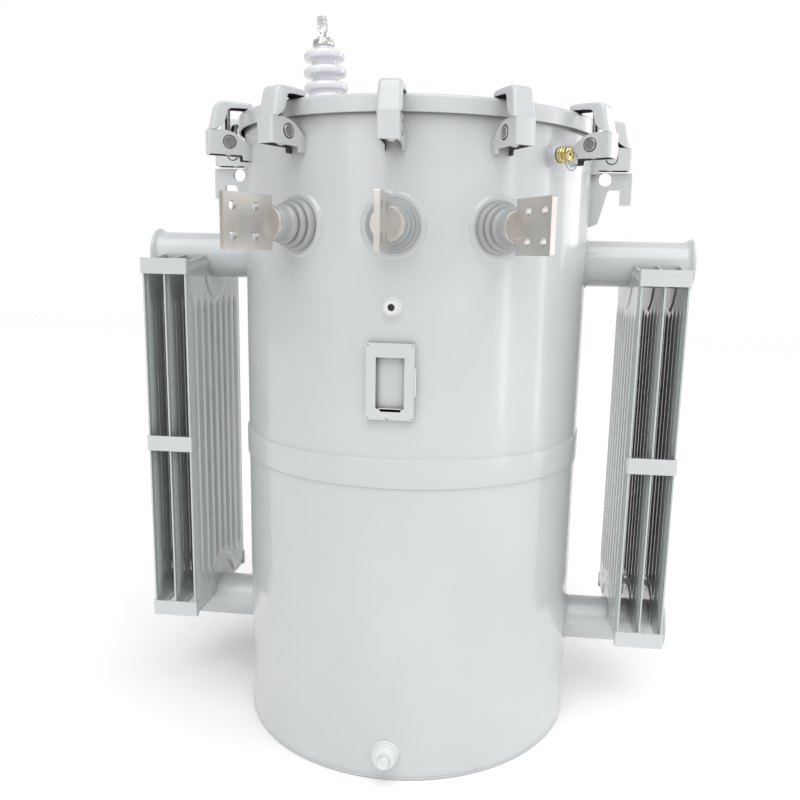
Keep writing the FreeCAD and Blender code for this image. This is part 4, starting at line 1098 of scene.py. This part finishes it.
for name, azimuth in SIDES.items():
    for k in (1, 2, 3):
        fin_node = "%s_fin_%d" % (name, k)
        panel = fin(abs(centre_of(fin_node, 0)), azimuth)
        finish("%s_panel_%d" % (name, k), panel, FIN_PAINT_SHADED, [fin_node], sharp=48)

# %% [markdown]
# ## Straps
# Short channels tie the fins' edges together: three at the front and two at the back of each radiator.  Each
# is the outer skin of a bent strip, carried along a rounded path and thickened inwards.

# %% Straps
STRAP, STRAP_THK, STRAP_RETURN, STRAP_SHORT = 29 * mm, 3 * mm, 9 * mm, 4.5 * mm
FRONT_ONLY, BOTH_FACES = (1,), (1, -1)
levels = [(LOWER_Z + 12 * mm, BOTH_FACES), ((LOWER_Z + UPPER_Z - 24 * mm) / 2, FRONT_ONLY),
          (UPPER_Z - 36 * mm, BOTH_FACES)]
for name, azimuth in SIDES.items():
    first, last = sorted(abs(v) for v in span("%s_straps" % name, 0))
    first, last = first + STRAP_SHORT, last - STRAP_SHORT
    bm = bmesh.new()
    for z, faces in levels:
        for front in faces:
            side = front if azimuth < 0 else -front
            x0, x1 = side * (FIN_HALF - STRAP_RETURN), side * (FIN_HALF + STRAP_THK)
            bent = rounded([(x0, first), (x1, first), (x1, last), (x0, last)], 3.4 * mm, 6, closed=False)
            skin = np.stack([place(*bent.T, height, azimuth) for height in (z, z + STRAP)], 1)
            strap = orient(to_bmesh(skin), (0, -front, 0))
            add_copy(bm, strap)
            strap.free()
    finish("%s_channel_straps" % name, bm, PAINT, ["%s_straps" % name], oriented=True,
           sheet=STRAP_THK, bevel=0.6 * mm)

# %% [markdown]
# ## Camera and light
# The camera stands 1.6 m from the tank's axis, a little to its right, at about four fifths of its height,
# and looks slightly down.

# %% Camera
EYE_DISTANCE, EYE_HEIGHT, EYE_TURN = 1.5994, 0.9085, math.radians(6.6)
PITCH, YAW, ROLL, LENS = 0.1839, 0.0120, 0.0231, 36.15
forward = Vector((math.sin(YAW) * math.cos(PITCH), math.cos(YAW) * math.cos(PITCH), -math.sin(PITCH)))
right = Vector((math.cos(YAW), -math.sin(YAW), 0))
up = right.cross(forward)
right, up = (math.cos(ROLL) * right + math.sin(ROLL) * up, math.cos(ROLL) * up - math.sin(ROLL) * right)
camera_data = bpy.data.cameras.new("camera")
camera_data.lens = LENS
camera_data.sensor_width = 36.0
camera_data.shift_x = -0.0288
camera_data.shift_y = 0.0093
camera_data.clip_end = 100.0
camera = add_object("camera", camera_data)
basis = Matrix((right, up, -forward)).transposed().to_4x4()
turn = Matrix.Rotation(EYE_TURN, 4, "Z")
camera.matrix_world = turn @ Matrix.Translation((0, -EYE_DISTANCE, EYE_HEIGHT)) @ basis
bpy.context.scene.camera = camera

# %% [markdown]
# ## Studio
# A pale floor, a white surround and a few large soft lamps.  The glossy paint shows what it reflects, so the
# lamps are tall and narrow where a vertical highlight belongs and broad everywhere else.

# %% Floor
FLOOR_HALF = 9
floor = bpy.data.meshes.new("floor")
corners = [(x * FLOOR_HALF, y * FLOOR_HALF, 0) for x, y in ((-1, -1), (1, -1), (1, 1), (-1, 1))]
floor.from_pydata(corners, [], [(0, 1, 2, 3)])
floor_obj = add_object("floor", floor)
pale = bpy.data.materials.new("pale_floor")
pale.use_nodes = True
pale_shader = pale.node_tree.nodes["Principled BSDF"]
pale_shader.inputs["Base Color"].default_value = (0.88, 0.88, 0.88, 1)
pale_shader.inputs["Roughness"].default_value = 0.9
floor.materials.append(pale)

# %% [markdown]
# The surround lights the object more from the front and the back than from the sides, and the camera sees it
# plain white.

# %% World
world = bpy.data.worlds.new("surround")
world.use_nodes = True
bpy.context.scene.world = world
sky = world.node_tree
light = sky.nodes["Background"]
light.inputs["Color"].default_value = (1.0, 1.0, 1.0, 1)
looks = node(sky, "ShaderNodeSeparateXYZ", [("Vector", node(sky, "ShaderNodeTexCoord").outputs["Generated"])])
squared = maths(sky, "MULTIPLY", looks.outputs["Y"], looks.outputs["Y"])
sky.links.new(remap(sky, squared, 0.48, 0.95, From_Max=0.9), light.inputs["Strength"])
seen = node(sky, "ShaderNodeBackground", Color=(1.0, 1.0, 1.0, 1), Strength=1.0)
to_camera = node(sky, "ShaderNodeLightPath").outputs["Is Camera Ray"]
both = node(sky, "ShaderNodeMixShader", [(0, to_camera), (1, light.outputs[0]), (2, seen.outputs[0])])
sky.links.new(both.outputs[0], sky.nodes["World Output"].inputs["Surface"])
bpy.context.scene.view_settings.view_transform = "Standard"

# %% Lamps
def aim(direction):
    """The rotation of a lamp that shines along a direction."""
    return Vector(direction).to_track_quat("-Z", "Y").to_euler()


LOOK_AT = Vector((0, 0, 0.7))
for name, place_at, width, height, power in (
        ("key", (-1.6, -3.4, 2.4), 1.6, 2.4, 16), ("right_strip", (2.8, -1.4, 1.3), 0.3, 2.6, 7),
        ("right_strip_2", (3.0, 0.1, 1.3), 0.25, 2.6, 6), ("right_back", (2.6, 1.6, 1.4), 1.2, 2.6, 22),
        ("right_wall", (3.4, -1.0, 1.5), 2.2, 2.6, 12)):
    data = bpy.data.lights.new(name, "AREA")
    data.shape = "RECTANGLE"
    data.size, data.size_y, data.energy = width, height, power
    lamp = add_object(name, data)
    lamp.location = place_at
    lamp.rotation_euler = aim(LOOK_AT - Vector(place_at))
sun = bpy.data.lights.new("overhead", "SUN")
sun.energy, sun.angle = 1.85, math.radians(60)
add_object("overhead", sun).rotation_euler = aim((-0.05, 0.50, -1.0))
print("lamps:", [lamp.name for lamp in bpy.data.lights])
